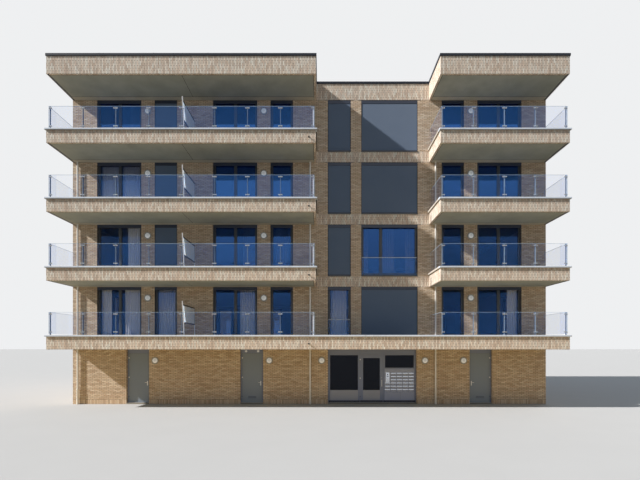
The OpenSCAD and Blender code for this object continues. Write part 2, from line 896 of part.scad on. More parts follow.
module screen_cassettes() {
    color(anthracite) each_cassette()
        block(0, $o[1], 0, cassette_d, opening_h - cassette_h, opening_h);
}

module screen_guides() {
    color(anthracite) each_cassette()
        for (u = [0, $o[1] - guide_w])
            block(u, u + guide_w, 0, guide_d, sill_h, opening_h - cassette_h);
}

module screen_bars() {
    color(anthracite) each_screen()
        block(guide_w, $o[1] - guide_w, cloth_v - bar_d / 2, cloth_v + bar_d / 2, sill_h, sill_h + bar_h);
}

module screen_cloths() {
    color("#454b52") each_screen()
        block(guide_w, $o[1] - guide_w, cloth_v - cloth_t / 2, cloth_v + cloth_t / 2,
            sill_h + bar_h, opening_h - cassette_h);
}

// Doorways of the ground storey
module doorway_bar(u0, u1, z0, z1) {
    block(u0, u1, door_reveal, door_reveal + door_frame_d, z0, z1);
}

module doorway_posts() {
    color(anthracite) at_front() {
        for (x = [left_door_x, middle_door_x, right_door_x])
            for (u = [x, x + service_w - service_frame])
                doorway_bar(u, u + service_frame, ground_floor_t, soffit_z);
        for (u = [entrance_x, entrance_end_x - entrance_post])
            doorway_bar(u, u + entrance_post, ground_floor_t, soffit_z);
        for (u = [entrance_mullion_x, second_mullion_x])
            doorway_bar(u, u + entrance_mullion, ground_floor_t, soffit_z);
    }
}

module doorway_rails() {
    light_x = entrance_x + entrance_post;
    color(anthracite) at_front() {
        for (x = [left_door_x, middle_door_x, right_door_x])
            doorway_bar(x + service_frame, x + service_w - service_frame, service_head_z, soffit_z);
        doorway_bar(light_x, entrance_mullion_x, entrance_head_z, soffit_z);
        doorway_bar(entrance_door_x, second_mullion_x, entrance_head_z, soffit_z);
        doorway_bar(mailbox_x, mailbox_x + mailbox_w, entrance_head_z, soffit_z);
        doorway_bar(light_x, entrance_mullion_x, ground_floor_t, ground_floor_t + kick_rail);
        doorway_bar(mailbox_x, mailbox_x + mailbox_w, ground_floor_t, ground_floor_t + kick_rail);
        doorway_bar(mailbox_x, mailbox_x + mailbox_w, transom_z - transom_h, transom_z);
    }
}

module entrance_lights() {
    v = door_reveal + (door_frame_d - pane_t) / 2;
    color(glass_blue) at_front() {
        block(entrance_x + entrance_post, entrance_mullion_x, v, v + pane_t,
            ground_floor_t + kick_rail, entrance_head_z);
        block(mailbox_x, mailbox_x + mailbox_w, v, v + pane_t, transom_z, entrance_head_z);
    }
}

module mailbox_panel() {
    color(door_grey) at_front()
        block(mailbox_x, mailbox_x + mailbox_w, mailbox_face, mailbox_face + mailbox_t,
            ground_floor_t + kick_rail, transom_z - transom_h);
}

// The intercom takes the place of the upper half of the first column
intercom_rows = floor(mailbox_rows / 2);

module mailbox_flaps() {
    margin = column_w * 0.07;
    color(steel) at_front()
        for (c = [0 : mailbox_columns - 1])
            for (r = [(c == 0 ? intercom_rows : 0) : mailbox_rows - 1]) {
                x = mailbox_x + c * column_w;
                z = mailbox_top - r * mailbox_pitch;
                block(x + margin, x + column_w - margin, mailbox_face - flap_t, mailbox_face,
                    z - flap_h / 2, z + flap_h / 2);
            }
}

module intercom() {
    x = mailbox_x + intercom_margin;
    flap_z = mailbox_top - intercom_rows * mailbox_pitch + flap_h / 2;
    color(steel) at_front()
        block(x, x + column_w - 2 * intercom_margin, mailbox_face - intercom_t, mailbox_face,
            flap_z + intercom_gap, mailbox_top + flap_h);
}

// Half a lift-off hinge, its plate on the right of the axis for side 1 and on the left for -1
module hinge_half(side, z0, z1) {
    translate([0, -knuckle_r, z0]) cylinder(r = knuckle_r, h = z1 - z0);
    block(min(0, side * hinge_plate_w), max(0, side * hinge_plate_w), -hinge_plate_t, 0, z0, z1);
}

// Hinges of one leaf: the lower halves are on the frame and carry the upper ones on the leaf
function hinge_feet(top) = [
    leaf_foot + hinge_margin,
    (leaf_foot + top - hinge_h) / 2,
    top - hinge_margin - hinge_h
];

module lower_hinges(x, side, top) {
    translate([x, door_reveal, 0])
        for (z = hinge_feet(top)) hinge_half(-side, z, z + hinge_h / 2);
}

module upper_hinges(x, side, top) {
    translate([x, door_reveal, 0])
        for (z = hinge_feet(top)) hinge_half(side, z + hinge_h / 2, z + hinge_h);
}

leaf_foot = ground_floor_t + leaf_foot_gap;
service_leaf_top = service_head_z - leaf_gap;
entrance_hinge_x = entrance_door_x + leaf_gap / 2;
function service_hinge_x(door_x, side) = side > 0
    ? door_x + service_frame + leaf_gap / 2
    : door_x + service_w - service_frame - leaf_gap / 2;

module frame_hinges() {
    color(steel) at_front() {
        lower_hinges(entrance_hinge_x, 1, entrance_leaf_top);
        lower_hinges(service_hinge_x(left_door_x, 1), 1, service_leaf_top);
        lower_hinges(service_hinge_x(middle_door_x, 1), 1, service_leaf_top);
        lower_hinges(service_hinge_x(right_door_x, -1), -1, service_leaf_top);
    }
}

// Entrance door, hinged on its left
entrance_leaf_x = entrance_door_x + leaf_gap;
entrance_leaf_end = second_mullion_x - leaf_gap;
entrance_leaf_top = entrance_head_z - leaf_gap;

module entrance_leaf() {
    color(anthracite) at_front() difference() {
        block(entrance_leaf_x, entrance_leaf_end, door_reveal, door_reveal + leaf_t,
            leaf_foot, entrance_leaf_top);
        block(entrance_leaf_x + leaf_stile, entrance_leaf_end - leaf_stile,
            door_reveal - 1, door_reveal + leaf_t + 1,
            leaf_foot + kick_rail, entrance_leaf_top - leaf_stile);
    }
}

module entrance_leaf_glass() {
    v = door_reveal + (leaf_t - pane_t) / 2;
    color(glass_blue) at_front()
        block(entrance_leaf_x + leaf_stile, entrance_leaf_end - leaf_stile, v, v + pane_t,
            leaf_foot + kick_rail, entrance_leaf_top - leaf_stile);
}

module pull_bar() {
    stud_z = pull_l / 2 - 2 * pull_r;
    translate([entrance_leaf_end - leaf_stile / 2, door_reveal - pull_out, pull_z]) {
        translate([0, 0, -pull_l / 2]) cylinder(r = pull_r, h = pull_l);
        for (z = [-stud_z, stud_z])
            translate([0, 0, z]) rotate([-90, 0, 0]) cylinder(r = pull_r / 2, h = pull_out);
    }
}

module entrance_fittings() {
    color(steel) at_front() {
        pull_bar();
        upper_hinges(entrance_hinge_x, 1, entrance_leaf_top);
    }
}

// Service doors: plain leaves with a lever handle near the free edge
module service_leaf(door_x) {
    color(door_grey) at_front()
        block(door_x + service_frame + leaf_gap, door_x + service_w - service_frame - leaf_gap,
            door_reveal, door_reveal + service_leaf_t, leaf_foot, service_leaf_top);
}

// side is 1 where the free edge is on the right, and -1 on the left
module lever_handle(door_x, side) {
    free_edge = side > 0
        ? door_x + service_w - service_frame - leaf_gap
        : door_x + service_frame + leaf_gap;
    translate([free_edge - side * handle_edge, door_reveal, handle_z]) {
        block(-handle_plate_w / 2, handle_plate_w / 2, -handle_plate_t, 0,
            -handle_plate_h * 2 / 3, handle_plate_h / 3);
        translate([0, -handle_plate_t - lever_out, 0]) rotate([-90, 0, 0])
            cylinder(r = lever_r, h = lever_out + handle_plate_t / 2);
        translate([side * lever_r, -handle_plate_t - lever_out, 0]) rotate([0, -90 * side, 0])
            cylinder(r = lever_r, h = lever_l);
    }
}

module vent_grille(door_x) {
    middle = door_x + service_w / 2;
    block(middle - grille_w / 2, middle + grille_w / 2, door_reveal - grille_t, door_reveal,
        grille_z - grille_h / 2, grille_z + grille_h / 2);
}

module service_fittings(door_x, side) {
    color(steel) at_front() {
        lever_handle(door_x, side);
        upper_hinges(service_hinge_x(door_x, side), side, service_leaf_top);
        children();
    }
}

module left_door_leaf() { service_leaf(left_door_x); }
module left_door_fittings() { service_fittings(left_door_x, 1); }
module middle_door_leaf() { service_leaf(middle_door_x); }
module middle_door_fittings() { service_fittings(middle_door_x, 1) vent_grille(middle_door_x); }
module right_door_leaf() { service_leaf(right_door_x); }
module right_door_fittings() { service_fittings(right_door_x, -1) vent_grille(right_door_x); }

module door_vents() {
    color(steel) at_front()
        for (s = [-1, 1])
            translate([middle_door_x + service_w / 2 + s * vent_offset, door_reveal,
                soffit_z - service_head / 2])
                rotate([90, 0, 0]) cylinder(r = vent_r, h = vent_t);
}

ground_floor();
thresholds();
floor_slabs();
roof_slab();
roofing();
front_wall_piers();
front_wall_bands();
rear_wall_piers();
rear_wall_bands();
side_wall_piers();
side_wall_bands();
coping_runs();
coping_returns();
balcony_slabs();
balcony_decks();
fascia_fronts();
fascia_returns();
lip_fronts();
lip_returns();
balustrade_posts();
balustrade_glass();
glass_clamps();
divider_rails();
divider_uprights();
divider_panels();
overflow_spouts();
downpipes();
wall_lamps();
window_sills();
window_stiles();
window_rails();
window_panes();
guard_glass();
guard_caps();
screen_cassettes();
screen_guides();
screen_bars();
screen_cloths();
doorway_posts();
doorway_rails();
entrance_lights();
mailbox_panel();
mailbox_flaps();
intercom();
door_vents();
frame_hinges();
entrance_leaf();
entrance_leaf_glass();
entrance_fittings();
left_door_leaf();
left_door_fittings();
middle_door_leaf();
middle_door_fittings();
right_door_leaf();
right_door_fittings();
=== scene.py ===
import math
import random

import bmesh
import bpy
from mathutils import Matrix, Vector


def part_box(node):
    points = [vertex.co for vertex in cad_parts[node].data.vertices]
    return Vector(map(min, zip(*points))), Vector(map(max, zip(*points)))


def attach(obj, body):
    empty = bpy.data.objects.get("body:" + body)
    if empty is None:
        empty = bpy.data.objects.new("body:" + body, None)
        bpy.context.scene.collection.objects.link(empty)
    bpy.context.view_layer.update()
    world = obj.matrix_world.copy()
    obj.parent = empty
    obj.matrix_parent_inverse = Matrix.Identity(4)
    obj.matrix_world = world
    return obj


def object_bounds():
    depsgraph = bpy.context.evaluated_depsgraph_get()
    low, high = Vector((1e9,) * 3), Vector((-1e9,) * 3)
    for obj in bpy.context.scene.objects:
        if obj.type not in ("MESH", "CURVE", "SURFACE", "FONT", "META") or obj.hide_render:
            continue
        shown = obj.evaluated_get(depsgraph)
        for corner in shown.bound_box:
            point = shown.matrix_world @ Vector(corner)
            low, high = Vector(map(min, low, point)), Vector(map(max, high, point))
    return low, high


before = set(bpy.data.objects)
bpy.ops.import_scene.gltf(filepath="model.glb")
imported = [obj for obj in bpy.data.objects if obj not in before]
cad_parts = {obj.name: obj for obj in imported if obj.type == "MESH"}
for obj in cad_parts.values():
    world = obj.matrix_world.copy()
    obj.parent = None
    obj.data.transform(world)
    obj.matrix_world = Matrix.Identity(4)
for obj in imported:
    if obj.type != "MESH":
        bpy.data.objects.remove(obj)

# Apartment block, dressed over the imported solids. Metres, X right, Y into the building, Z up.

cad_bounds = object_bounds()

(LEFT, FRONT, _), (RIGHT, _, _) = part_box("front_wall_piers")
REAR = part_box("rear_wall_piers")[1].y
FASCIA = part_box("fascia_fronts")[0].y
DIVIDER = sum(end.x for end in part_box("divider_panels")) / 2
ROOF_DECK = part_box("roof_slab")[1].z

# Storeys, and the height and sill of a window opening
STOREY = 3.0
SOFFIT = 2.65
OPENING = 2.5
SILL = 0.06

# Brick length, course heights and the thickness of the facing
BRICK = 0.2225
FLAT_COURSE = 0.0625
UPRIGHT_COURSE = 0.0611
FACING = 0.181

# Window glass is clear below one height and full above another, and full glass shows more of its blue colour,
# which is a painted reflection of the sky. Both lie further up in the right wing and the left end rooms, and
# the panes on the sides and at the rear are full.
CLEAR_BELOW = 1.4 * STOREY
FULL_ABOVE = 3.1 * STOREY
RIGHT_WING = 5.77
END_ROOMS = -8.1
SIDE_PANES = RIGHT - 0.4

# Ground storey: top of the thresholds, of the dark foot strips that are painted shade, of painted fittings
# and of the kick panels, and the gap round a leaf
THRESHOLD = 0.0602
FOOT_SHADE_TOP = 0.165
PAINTED_BELOW = 0.6
KICK = 0.66
DOOR_GAP = 0.006

# Longest piece of concrete lip and of coping sheet, and the width of a curtain's fold
LIP_LENGTH = 2.9
SHEET_LENGTH = 2.4
FOLD = 0.105

# How far thin strips stand out of the surface they lie on
SKIM = 0.0006
JOINT_SKIM = 0.0008

BLACK = (0, 0, 0, 1)
WHITE = (1, 1, 1, 1)
UP = (0, 0, 1)
FORWARD = (0, -1, 0)


def link(item):
    bpy.context.scene.collection.objects.link(item)
    return item


# Camera: the photograph is taken square to the front with a shifted lens

def make_camera():
    data = bpy.data.cameras.new("photo_camera")
    data.sensor_width = 36.0
    data.lens = 24.0
    data.shift_x = -0.0023
    data.shift_y = 0.1648
    data.clip_end = 1000.0
    camera = link(bpy.data.objects.new("photo_camera", data))
    camera.location = (0.585, FASCIA - 18.57, 2.824)
    camera.rotation_euler = (math.radians(90.0), 0.0, 0.0)
    bpy.context.scene.camera = camera


# Colours are written as 0 to 255 display values

def paint(*display):
    shares = [c / 255.0 for c in display]
    return (*[c / 12.92 if c <= 0.04045 else ((c + 0.055) / 1.055) ** 2.4 for c in shares], 1.0)


class Nodes:
    """A node tree, with short calls for the nodes used here."""

    def __init__(self, owner):
        owner.use_nodes = True
        self.tree = owner.node_tree

    def node(self, kind, inputs=None, **settings):
        made = self.tree.nodes.new(kind)
        for key, value in settings.items():
            setattr(made, key, value)
        for key, value in (inputs or {}).items():
            self.feed(made.inputs[key], value)
        return made

    def feed(self, socket, value):
        if isinstance(value, bpy.types.NodeSocket):
            self.tree.links.new(value, socket)
        else:
            socket.default_value = value

    def math(self, operation, a, b=0.0, c=0.0):
        return self.node("ShaderNodeMath", {0: a, 1: b, 2: c}, operation=operation).outputs[0]

    def seen(self):
        """One where the camera looks, also past glass and in a reflection."""
        rays = self.node("ShaderNodeLightPath").outputs
        seen = self.math("MAXIMUM", rays["Is Camera Ray"], rays["Is Transmission Ray"])
        return self.math("MAXIMUM", seen, rays["Is Glossy Ray"])


class Shader(Nodes):
    """A material's nodes."""

    def __init__(self, name, roughness=0.6, metallic=0.0, specular=0.5, more=None):
        self.material = bpy.data.materials.new(name)
        super().__init__(self.material)
        self.surface = self.tree.nodes["Principled BSDF"]
        settled = {"Roughness": roughness, "Metallic": metallic, "Specular IOR Level": specular}
        for key, value in {**settled, **(more or {})}.items():
            self.surface.inputs[key].default_value = value
        self.place = self.node("ShaderNodeTexCoord").outputs["Object"]

    def times(self, a, b):
        return self.math("MULTIPLY", a, b)

    def times_plus(self, a, b, c):
        return self.math("MULTIPLY_ADD", a, b, c)

    def over(self, value, limit):
        return self.math("GREATER_THAN", value, limit)

    def under(self, value, limit):
        return self.math("LESS_THAN", value, limit)

    def between(self, value, low, high):
        return self.times(self.over(value, low), self.under(value, high))

    def unless(self, value):
        return self.math("SUBTRACT", 1.0, value)

    def size(self, value):
        return self.math("ABSOLUTE", value)

    def mix(self, amount, a, b, blend="MIX", kind="RGBA"):
        ends = {"Factor": amount, "A": a, "B": b}
        return self.node("ShaderNodeMix", ends, data_type=kind, blend_type=blend).outputs["Result"]

    def choose(self, amount, a, b):
        return self.mix(amount, a, b, kind="FLOAT")

    def ramp(self, value, stops):
        made = self.node("ShaderNodeValToRGB", {"Fac": value})
        elements = made.color_ramp.elements
        while len(elements) < len(stops):
            elements.new(0.5)
        for element, (position, colour) in zip(elements, stops):
            element.position = position
            element.color = colour
        return made.outputs["Color"]

    def fade(self, value, low, high):
        """Black up to the low value and white from the high one on."""
        return self.ramp(value, [(low, BLACK), (high, WHITE)])

    def noise(self, scale, detail=2.0, roughness=0.5, vector=None):
        inputs = {"Vector": vector or self.place, "Scale": scale, "Detail": detail, "Roughness": roughness}
        return self.node("ShaderNodeTexNoise", inputs).outputs["Fac"]

    def cells(self, scale):
        return self.node("ShaderNodeTexVoronoi", {"Vector": self.place, "Scale": scale}).outputs

    def stretch(self, x, y, z):
        return self.node("ShaderNodeMapping", {"Vector": self.place, "Scale": (x, y, z)}).outputs["Vector"]

    def facing(self, normal):
        return self.split(self.node("ShaderNodeNewGeometry").outputs[normal])

    def split(self, vector=None):
        return self.node("ShaderNodeSeparateXYZ", {"Vector": vector or self.place}).outputs

    def join(self, x, y):
        return self.node("ShaderNodeCombineXYZ", {"X": x, "Y": y}).outputs["Vector"]

    def colour(self, value):
        self.feed(self.surface.inputs["Base Color"], value)

    def rough(self, value):
        self.feed(self.surface.inputs["Roughness"], value)

    def bump(self, height, distance, strength=1.0):
        made = self.node("ShaderNodeBump", {"Height": height, "Distance": distance, "Strength": strength})
        self.feed(self.surface.inputs["Normal"], made.outputs["Normal"])


def brick(name, upright, tones):
    """Facing brick in half bond: laid flat, or standing upright on fascias and bands."""
    s = Shader(name, roughness=0.85, specular=0.25)
    place = s.split()
    facing = s.facing("True Normal")
    along = s.choose(s.over(s.size(facing["X"]), 0.5), place["X"], place["Y"])
    level = s.math("WRAP", place["Z"], SOFFIT + STOREY, SOFFIT) if upright else place["Z"]
    up = s.choose(s.over(s.size(facing["Z"]), 0.5), level, place["Y"])
    course = UPRIGHT_COURSE if upright else FLAT_COURSE

    def laid(vector, offset):
        return s.node("ShaderNodeTexBrick", {
            "Vector": vector, "Color1": BLACK, "Color2": WHITE, "Mortar": (0.5, 0.5, 0.5, 1), "Scale": 1.0,
            "Mortar Size": 0.006, "Mortar Smooth": 0.3, "Brick Width": BRICK, "Row Height": course,
        }, offset=offset, offset_frequency=2).outputs

    bricks = laid(s.join(up, along) if upright else s.join(along, up), 0.5)
    row = s.math("FLOOR", s.math("DIVIDE", along if upright else up, course))
    shared = s.node("ShaderNodeTexWhiteNoise", {"W": row}, noise_dimensions="1D").outputs["Value"]
    pick = s.choose(0.5 if upright else 0.15, bricks["Color"], shared)
    joint = bricks["Fac"]
    if not upright:
        foot = s.under(place["Z"], BRICK)
        soldiers = laid(s.join(up, along), 0.0)
        pick = s.choose(foot, pick, soldiers["Color"])
        joint = s.choose(foot, joint, soldiers["Fac"])
    tone = s.ramp(pick, [(i / (len(tones) - 1), paint(*c)) for i, c in enumerate(tones)])
    grain = s.noise(90.0, 5.0, 0.7)
    sanded = s.mix(s.times(grain, 0.2), tone, paint(168, 142, 116))
    patch = s.fade(s.noise(0.8, 4.0, 0.6), 0.35, 0.7)
    worn = s.mix(s.times(patch, 0.12), sanded, paint(176, 160, 140), "MULTIPLY")
    # Mortar is partly its own colour and partly painted shade in the recessed joints, so it is darker than
    # mortar.
    mortar_and_joint_shade = s.mix(grain, paint(112, 98, 84), paint(88, 78, 68))
    inside = s.times(s.between(place["X"], LEFT + FACING, RIGHT - FACING),
                     s.between(place["Y"], FRONT + FACING, REAR - FACING))
    inside = s.times(inside, s.under(place["Z"], ROOF_DECK - 0.1))
    s.colour(s.mix(inside, s.mix(joint, worn, mortar_and_joint_shade), paint(196, 192, 184)))
    relief = s.times_plus(pick, 0.55, s.unless(joint))
    relief = s.times_plus(s.noise(35.0, 4.0, 0.6), 0.5, relief)
    s.bump(s.times(relief, s.unless(inside)), 0.010)
    return s.material


def concrete(name, colour, dark, roughness=0.8, streaks=0.0, pores=0.4):
    s = Shader(name, roughness=roughness, specular=0.3)
    dark = paint(*dark)
    fine = s.noise(26.0, 4.0, 0.6)
    tone = s.mix(s.fade(s.noise(1.1, 5.0, 0.62), 0.35, 0.72), paint(*colour), dark)
    tone = s.mix(s.times(fine, 0.35), tone, dark)
    if streaks:
        run = s.fade(s.noise(1.0, 4.0, 0.6, s.stretch(9.0, 9.0, 0.5)), 0.52, 0.75)
        tone = s.mix(s.times(run, streaks), tone, paint(112, 108, 98))
    s.colour(tone)
    pitted = s.fade(s.cells(38.0)["Distance"], 0.05, 0.16)
    s.bump(s.times_plus(pitted, pores, fine), 0.0012)
    return s.material


def metal(name, colour, dark, roughness, metallic, brushed=False, spangle=0.0, painted=None):
    """Bare metal. With painted, what lies low on a door has that colour."""
    s = Shader(name, roughness=roughness, metallic=metallic)
    fine = s.noise(120.0, 3.0, 0.6, s.stretch(2.0, 2.0, 60.0) if brushed else s.place)
    tone = s.mix(s.times(s.noise(2.5, 3.0, 0.5), 0.6), paint(*colour), paint(*dark))
    if spangle:
        tone = s.mix(spangle, tone, s.cells(45.0)["Color"], "OVERLAY")
    if painted:
        tone = s.mix(s.under(s.split()["Z"], PAINTED_BELOW), tone, paint(*painted))
    s.colour(tone)
    s.rough(s.times_plus(fine, 0.16, roughness - 0.08))
    s.bump(fine, 0.0002, 0.4)
    return s.material


def coated(name, colour, light, roughness=0.42, specular=0.5):
    """Powder-coated metal: fine orange peel, dust on what faces up."""
    s = Shader(name, roughness=roughness, specular=specular)
    dust = s.times(s.fade(s.facing("Normal")["Z"], 0.4, 0.95), 0.45)
    broad = s.noise(1.7, 4.0, 0.6)
    tone = s.mix(s.times(broad, 0.35), paint(*colour), paint(*light))
    s.colour(s.mix(dust, tone, paint(136, 132, 124)))
    s.rough(s.times_plus(broad, 0.18, roughness - 0.08))
    s.bump(s.noise(260.0, 2.0, 0.5), 0.0002, 0.3)
    return s.material


def glass(name, colour, alpha, roughness=0.03, haze=0.06, specular=0.8, ior=1.5, tint=WHITE,
          clearer=None, more=None):
    """Glass with a faint film whose brighter patches are painted reflection. With clearer, its alpha falls to
    that low on the front.
    """
    s = Shader(name, roughness=roughness, specular=specular,
               more={"IOR": ior, "Specular Tint": tint, **(more or {})})
    film_and_reflection = s.noise(1.3, 4.0, 0.65)
    colour = paint(*colour)
    s.colour(s.mix(s.times(film_and_reflection, 0.5), colour, (*[min(1.0, c * 1.5) for c in colour[:3]], 1)))
    if clearer:
        place = s.split()
        level = place["Z"]
        for beyond, storeys in (
                (s.over(place["X"], RIGHT_WING), -1.0),
                (s.under(place["X"], END_ROOMS), -1.9),
                (s.over(place["Y"], 0.0), 5.0),
                (s.over(s.size(place["X"]), SIDE_PANES), 5.0)):
            level = s.times_plus(beyond, storeys * STOREY, level)
        heights = {"From Min": CLEAR_BELOW, "From Max": FULL_ABOVE, "To Min": clearer, "To Max": alpha}
        alpha = s.node("ShaderNodeMapRange", {"Value": level, **heights}).outputs["Result"]
    s.feed(s.surface.inputs["Alpha"], s.times_plus(film_and_reflection, haze, alpha))
    s.rough(s.times_plus(film_and_reflection, 0.04, roughness))
    s.material.surface_render_method = "DITHERED"
    return s.material


def cloth(name, colour, dark, scale):
    s = Shader(name, roughness=0.85, specular=0.2, more={"Sheen Weight": 1.0, "Sheen Roughness": 0.45})
    place = s.split()
    across = s.math("SINE", s.times(s.math("ADD", place["X"], place["Y"]), scale))
    weave = s.times(across, s.math("SINE", s.times(place["Z"], scale)))
    dark = paint(*dark)
    tone = s.mix(s.times(s.noise(1.5, 3.0, 0.6), 0.5), paint(*colour), dark)
    s.colour(s.mix(s.times_plus(weave, 0.12, 0.12), tone, dark))
    s.bump(weave, 0.0004, 0.5)
    return s.material


def felt(name):
    s = Shader(name, roughness=0.95, specular=0.1)
    chips = s.cells(34.0)
    tone = s.mix(chips["Color"], paint(118, 116, 110), paint(168, 163, 152))
    s.colour(s.mix(s.noise(0.5, 4.0, 0.6), tone, paint(104, 102, 96)))
    s.bump(chips["Distance"], 0.012, 0.8)
    return s.material


def plastic(name, colour, dark, roughness=0.4, glow=0.0):
    s = Shader(name, roughness=roughness,
               more={"Emission Color": (0.86, 0.93, 1.0, 1.0), "Emission Strength": glow})
    s.colour(s.mix(s.times(s.noise(4.0, 4.0, 0.6), 0.5), paint(*colour), paint(*dark)))
    s.rough(s.times_plus(s.noise(30.0, 3.0), 0.12, roughness))
    s.bump(s.noise(220.0, 2.0), 0.0002, 0.3)
    return s.material


def dress(names, material):
    """Gives CAD nodes a material and hands it back."""
    for name in names.split():
        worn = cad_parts[name].data.materials
        worn.clear()
        worn.append(material)
    return material


dress("front_wall_piers rear_wall_piers side_wall_piers", brick("buff_brick", False, [
    (190, 166, 141), (226, 204, 177), (240, 222, 198), (216, 192, 163), (245, 229, 207),
    (230, 209, 184), (204, 179, 153), (236, 215, 190), (222, 195, 169), (212, 185, 157)]))
# The upright ramp is paler and less yellow than the flat one for the same brick: painted light on the sunlit
# fascias.
dress("front_wall_bands rear_wall_bands side_wall_bands fascia_fronts fascia_returns", brick(
    "upright_brick_painted_paler", True, [
        (201, 181, 163), (245, 229, 211), (254, 246, 233), (229, 208, 188), (249, 233, 215),
        (255, 251, 239), (214, 194, 176), (241, 221, 203), (254, 240, 222), (224, 203, 184)]))

dress("balcony_slabs", concrete("soffit_concrete", (174, 179, 173), (150, 155, 149)))
# The blue in the lip fronts is a painted reflection of the sky.
dress("lip_fronts", concrete("pale_concrete_painted_sky_blue", (222, 231, 243), (205, 214, 226), 0.7, 0.2, 0.2))
# The lip returns face the key light; their concrete is painted warmer and darker than the fronts, painted
# shade against that light.
dress("lip_returns", concrete("return_concrete_painted_darker", (204, 197, 186), (188, 181, 170), 0.7, 0.2, 0.2))
dress("balcony_decks", concrete("deck_concrete", (178, 175, 166), (158, 155, 146)))
dress("ground_floor thresholds floor_slabs roof_slab", concrete(
    "floor_screed", (150, 147, 140), (128, 125, 118)))
strip_render = concrete("soffit_strip", (196, 192, 180), (176, 172, 160), pores=0.1)
# A dark render for painted shade under the lip overhangs.
painted_shade_render = concrete("lip_underside", (98, 90, 80), (80, 73, 65), pores=0.1)
dress("roofing", felt("roof_ballast"))
dark_felt = felt("upstand_felt")

coping_metal = dress("coping_runs coping_returns", coated(
    "coping_sheet", (36, 40, 50), (48, 52, 62), specular=0.25))
frame_coat = dress("divider_rails window_sills window_stiles window_rails", coated(
    "anthracite_frames", (58, 62, 68), (70, 74, 80)))
dress("screen_cassettes screen_guides screen_bars", coated("screen_boxes", (44, 52, 70), (56, 64, 82)))
door_coat = dress("frame_hinges left_door_leaf middle_door_leaf right_door_leaf", coated(
    "grey_door_paint", (129, 140, 152), (141, 151, 162), 0.5))
dress("mailbox_panel", coated("mailbox_paint", (156, 165, 191), (167, 176, 201), 0.5))
# A near-black coat for painted shade under the outer ends of the end returns.
painted_edge_shade = coated("painted_edge_shade", (34, 35, 42), (44, 45, 52))
kick_coat = coated("kick_panels", (156, 160, 172), (164, 168, 180), 0.36)
# A dark blue-grey coat for the painted shade at the foot of the entrance.
foot_shade_coat = coated("painted_foot_shade", (24, 28, 44), (32, 36, 52), 0.5)
# The entrance frames are a grey coat made bluer with painted sky light, against the warm light under the
# balconies.
entrance_coat = dress("doorway_posts doorway_rails entrance_leaf", coated(
    "entrance_frames", (126, 136, 162), (138, 148, 173)))

zinc = dress("glass_clamps guard_caps", metal(
    "galvanised_steel", (182, 186, 190), (156, 161, 166), 0.42, 0.35, spangle=0.1))
post_zinc = dress("balustrade_posts", metal(
    "post_zinc", (92, 106, 128), (76, 90, 112), 0.45, 0.3, spangle=0.1))
pipe_zinc = dress("downpipes", metal("grey_pipe", (236, 234, 228), (218, 216, 210), 0.42, 0.1))
white_metal = dress("divider_uprights", metal("white_bar", (232, 234, 236), (214, 217, 220), 0.4, 0.1))
spout_metal = dress("overflow_spouts", metal("dark_spout", (92, 90, 88), (70, 68, 66), 0.5, 0.3))
flap_steel = dress("mailbox_flaps intercom", metal("flap_steel", (214, 220, 230), (200, 206, 216), 0.3, 0.9))
brushed = metal("brushed_steel", (214, 215, 216), (186, 188, 190), 0.3, 0.55, brushed=True)
dress("entrance_fittings left_door_fittings middle_door_fittings right_door_fittings", metal(
    "door_fittings", (250, 250, 250), (232, 233, 235), 0.35, 0.1, painted=(96, 106, 124)))

# The dark blue colour and blue specular tint of the window glass are a painted reflection of the sky.
dress("window_panes", glass(
    "window_glass", (12, 32, 96), 0.76, ior=2.8, tint=(0.09, 0.26, 0.70, 1), clearer=0.13))
# Balustrade glass: the blue colour, blue tint and very high IOR are a painted reflection of the sky, stronger
# higher up.
dress("balustrade_glass guard_glass", glass(
    "balustrade_glass", (20, 66, 168), 0.066, haze=0.02, ior=4.6, tint=(0.10, 0.38, 1.0, 1), clearer=0.018))
dress("entrance_lights entrance_leaf_glass", glass(
    "entrance_glass", (8, 9, 12), 0.8, specular=0.6, tint=(0.3, 0.33, 0.42, 1)))
# Frosted glass: pale is its own colour; the blue in its colour and tint is painted sky light.
dress("divider_panels", glass(
    "frosted_glass", (226, 246, 255), 0.95, 0.45, specular=0.6, ior=2.0, tint=(0.1, 0.4, 1.0, 1), more={
        "Subsurface Weight": 1.0, "Subsurface Scale": 0.12, "Subsurface Radius": (0.7, 0.9, 1.2)}))
edge_glass = glass("polished_glass_edge", (176, 200, 226), 0.6, 0.15)

# The blue in the screen cloth is a painted reflection of the sky.
dress("screen_cloths", cloth("screen_cloth", (100, 117, 140), (84, 102, 127), 700.0))
curtain_cloth = cloth("curtain_cloth", (250, 251, 252), (238, 241, 245), 300.0)

# The opal glows a little; on the door vents, which are no lamps, the glow is painted light.
dress("wall_lamps door_vents", plastic("opal_lamp", (238, 238, 236), (224, 225, 224), 0.3, 0.16))
lamp_rim = plastic("lamp_rim", (176, 178, 178), (154, 156, 157), 0.45)
lamp_cap = plastic("lamp_cap", (222, 224, 224), (208, 210, 211), 0.35, 0.13)
black_rubber = plastic("black_rubber", (22, 22, 24), (30, 30, 32), 0.7)
dark_slot = plastic("dark_slot", (18, 18, 20), (12, 12, 14), 0.9)
mastic = plastic("joint_mastic", (120, 118, 112), (96, 94, 90), 0.8)
name_window = plastic("name_window", (216, 216, 210), (200, 200, 194), 0.2)
gloss_black = plastic("gloss_black", (20, 22, 24), (30, 32, 35), 0.15)

make_camera()


# Shapes

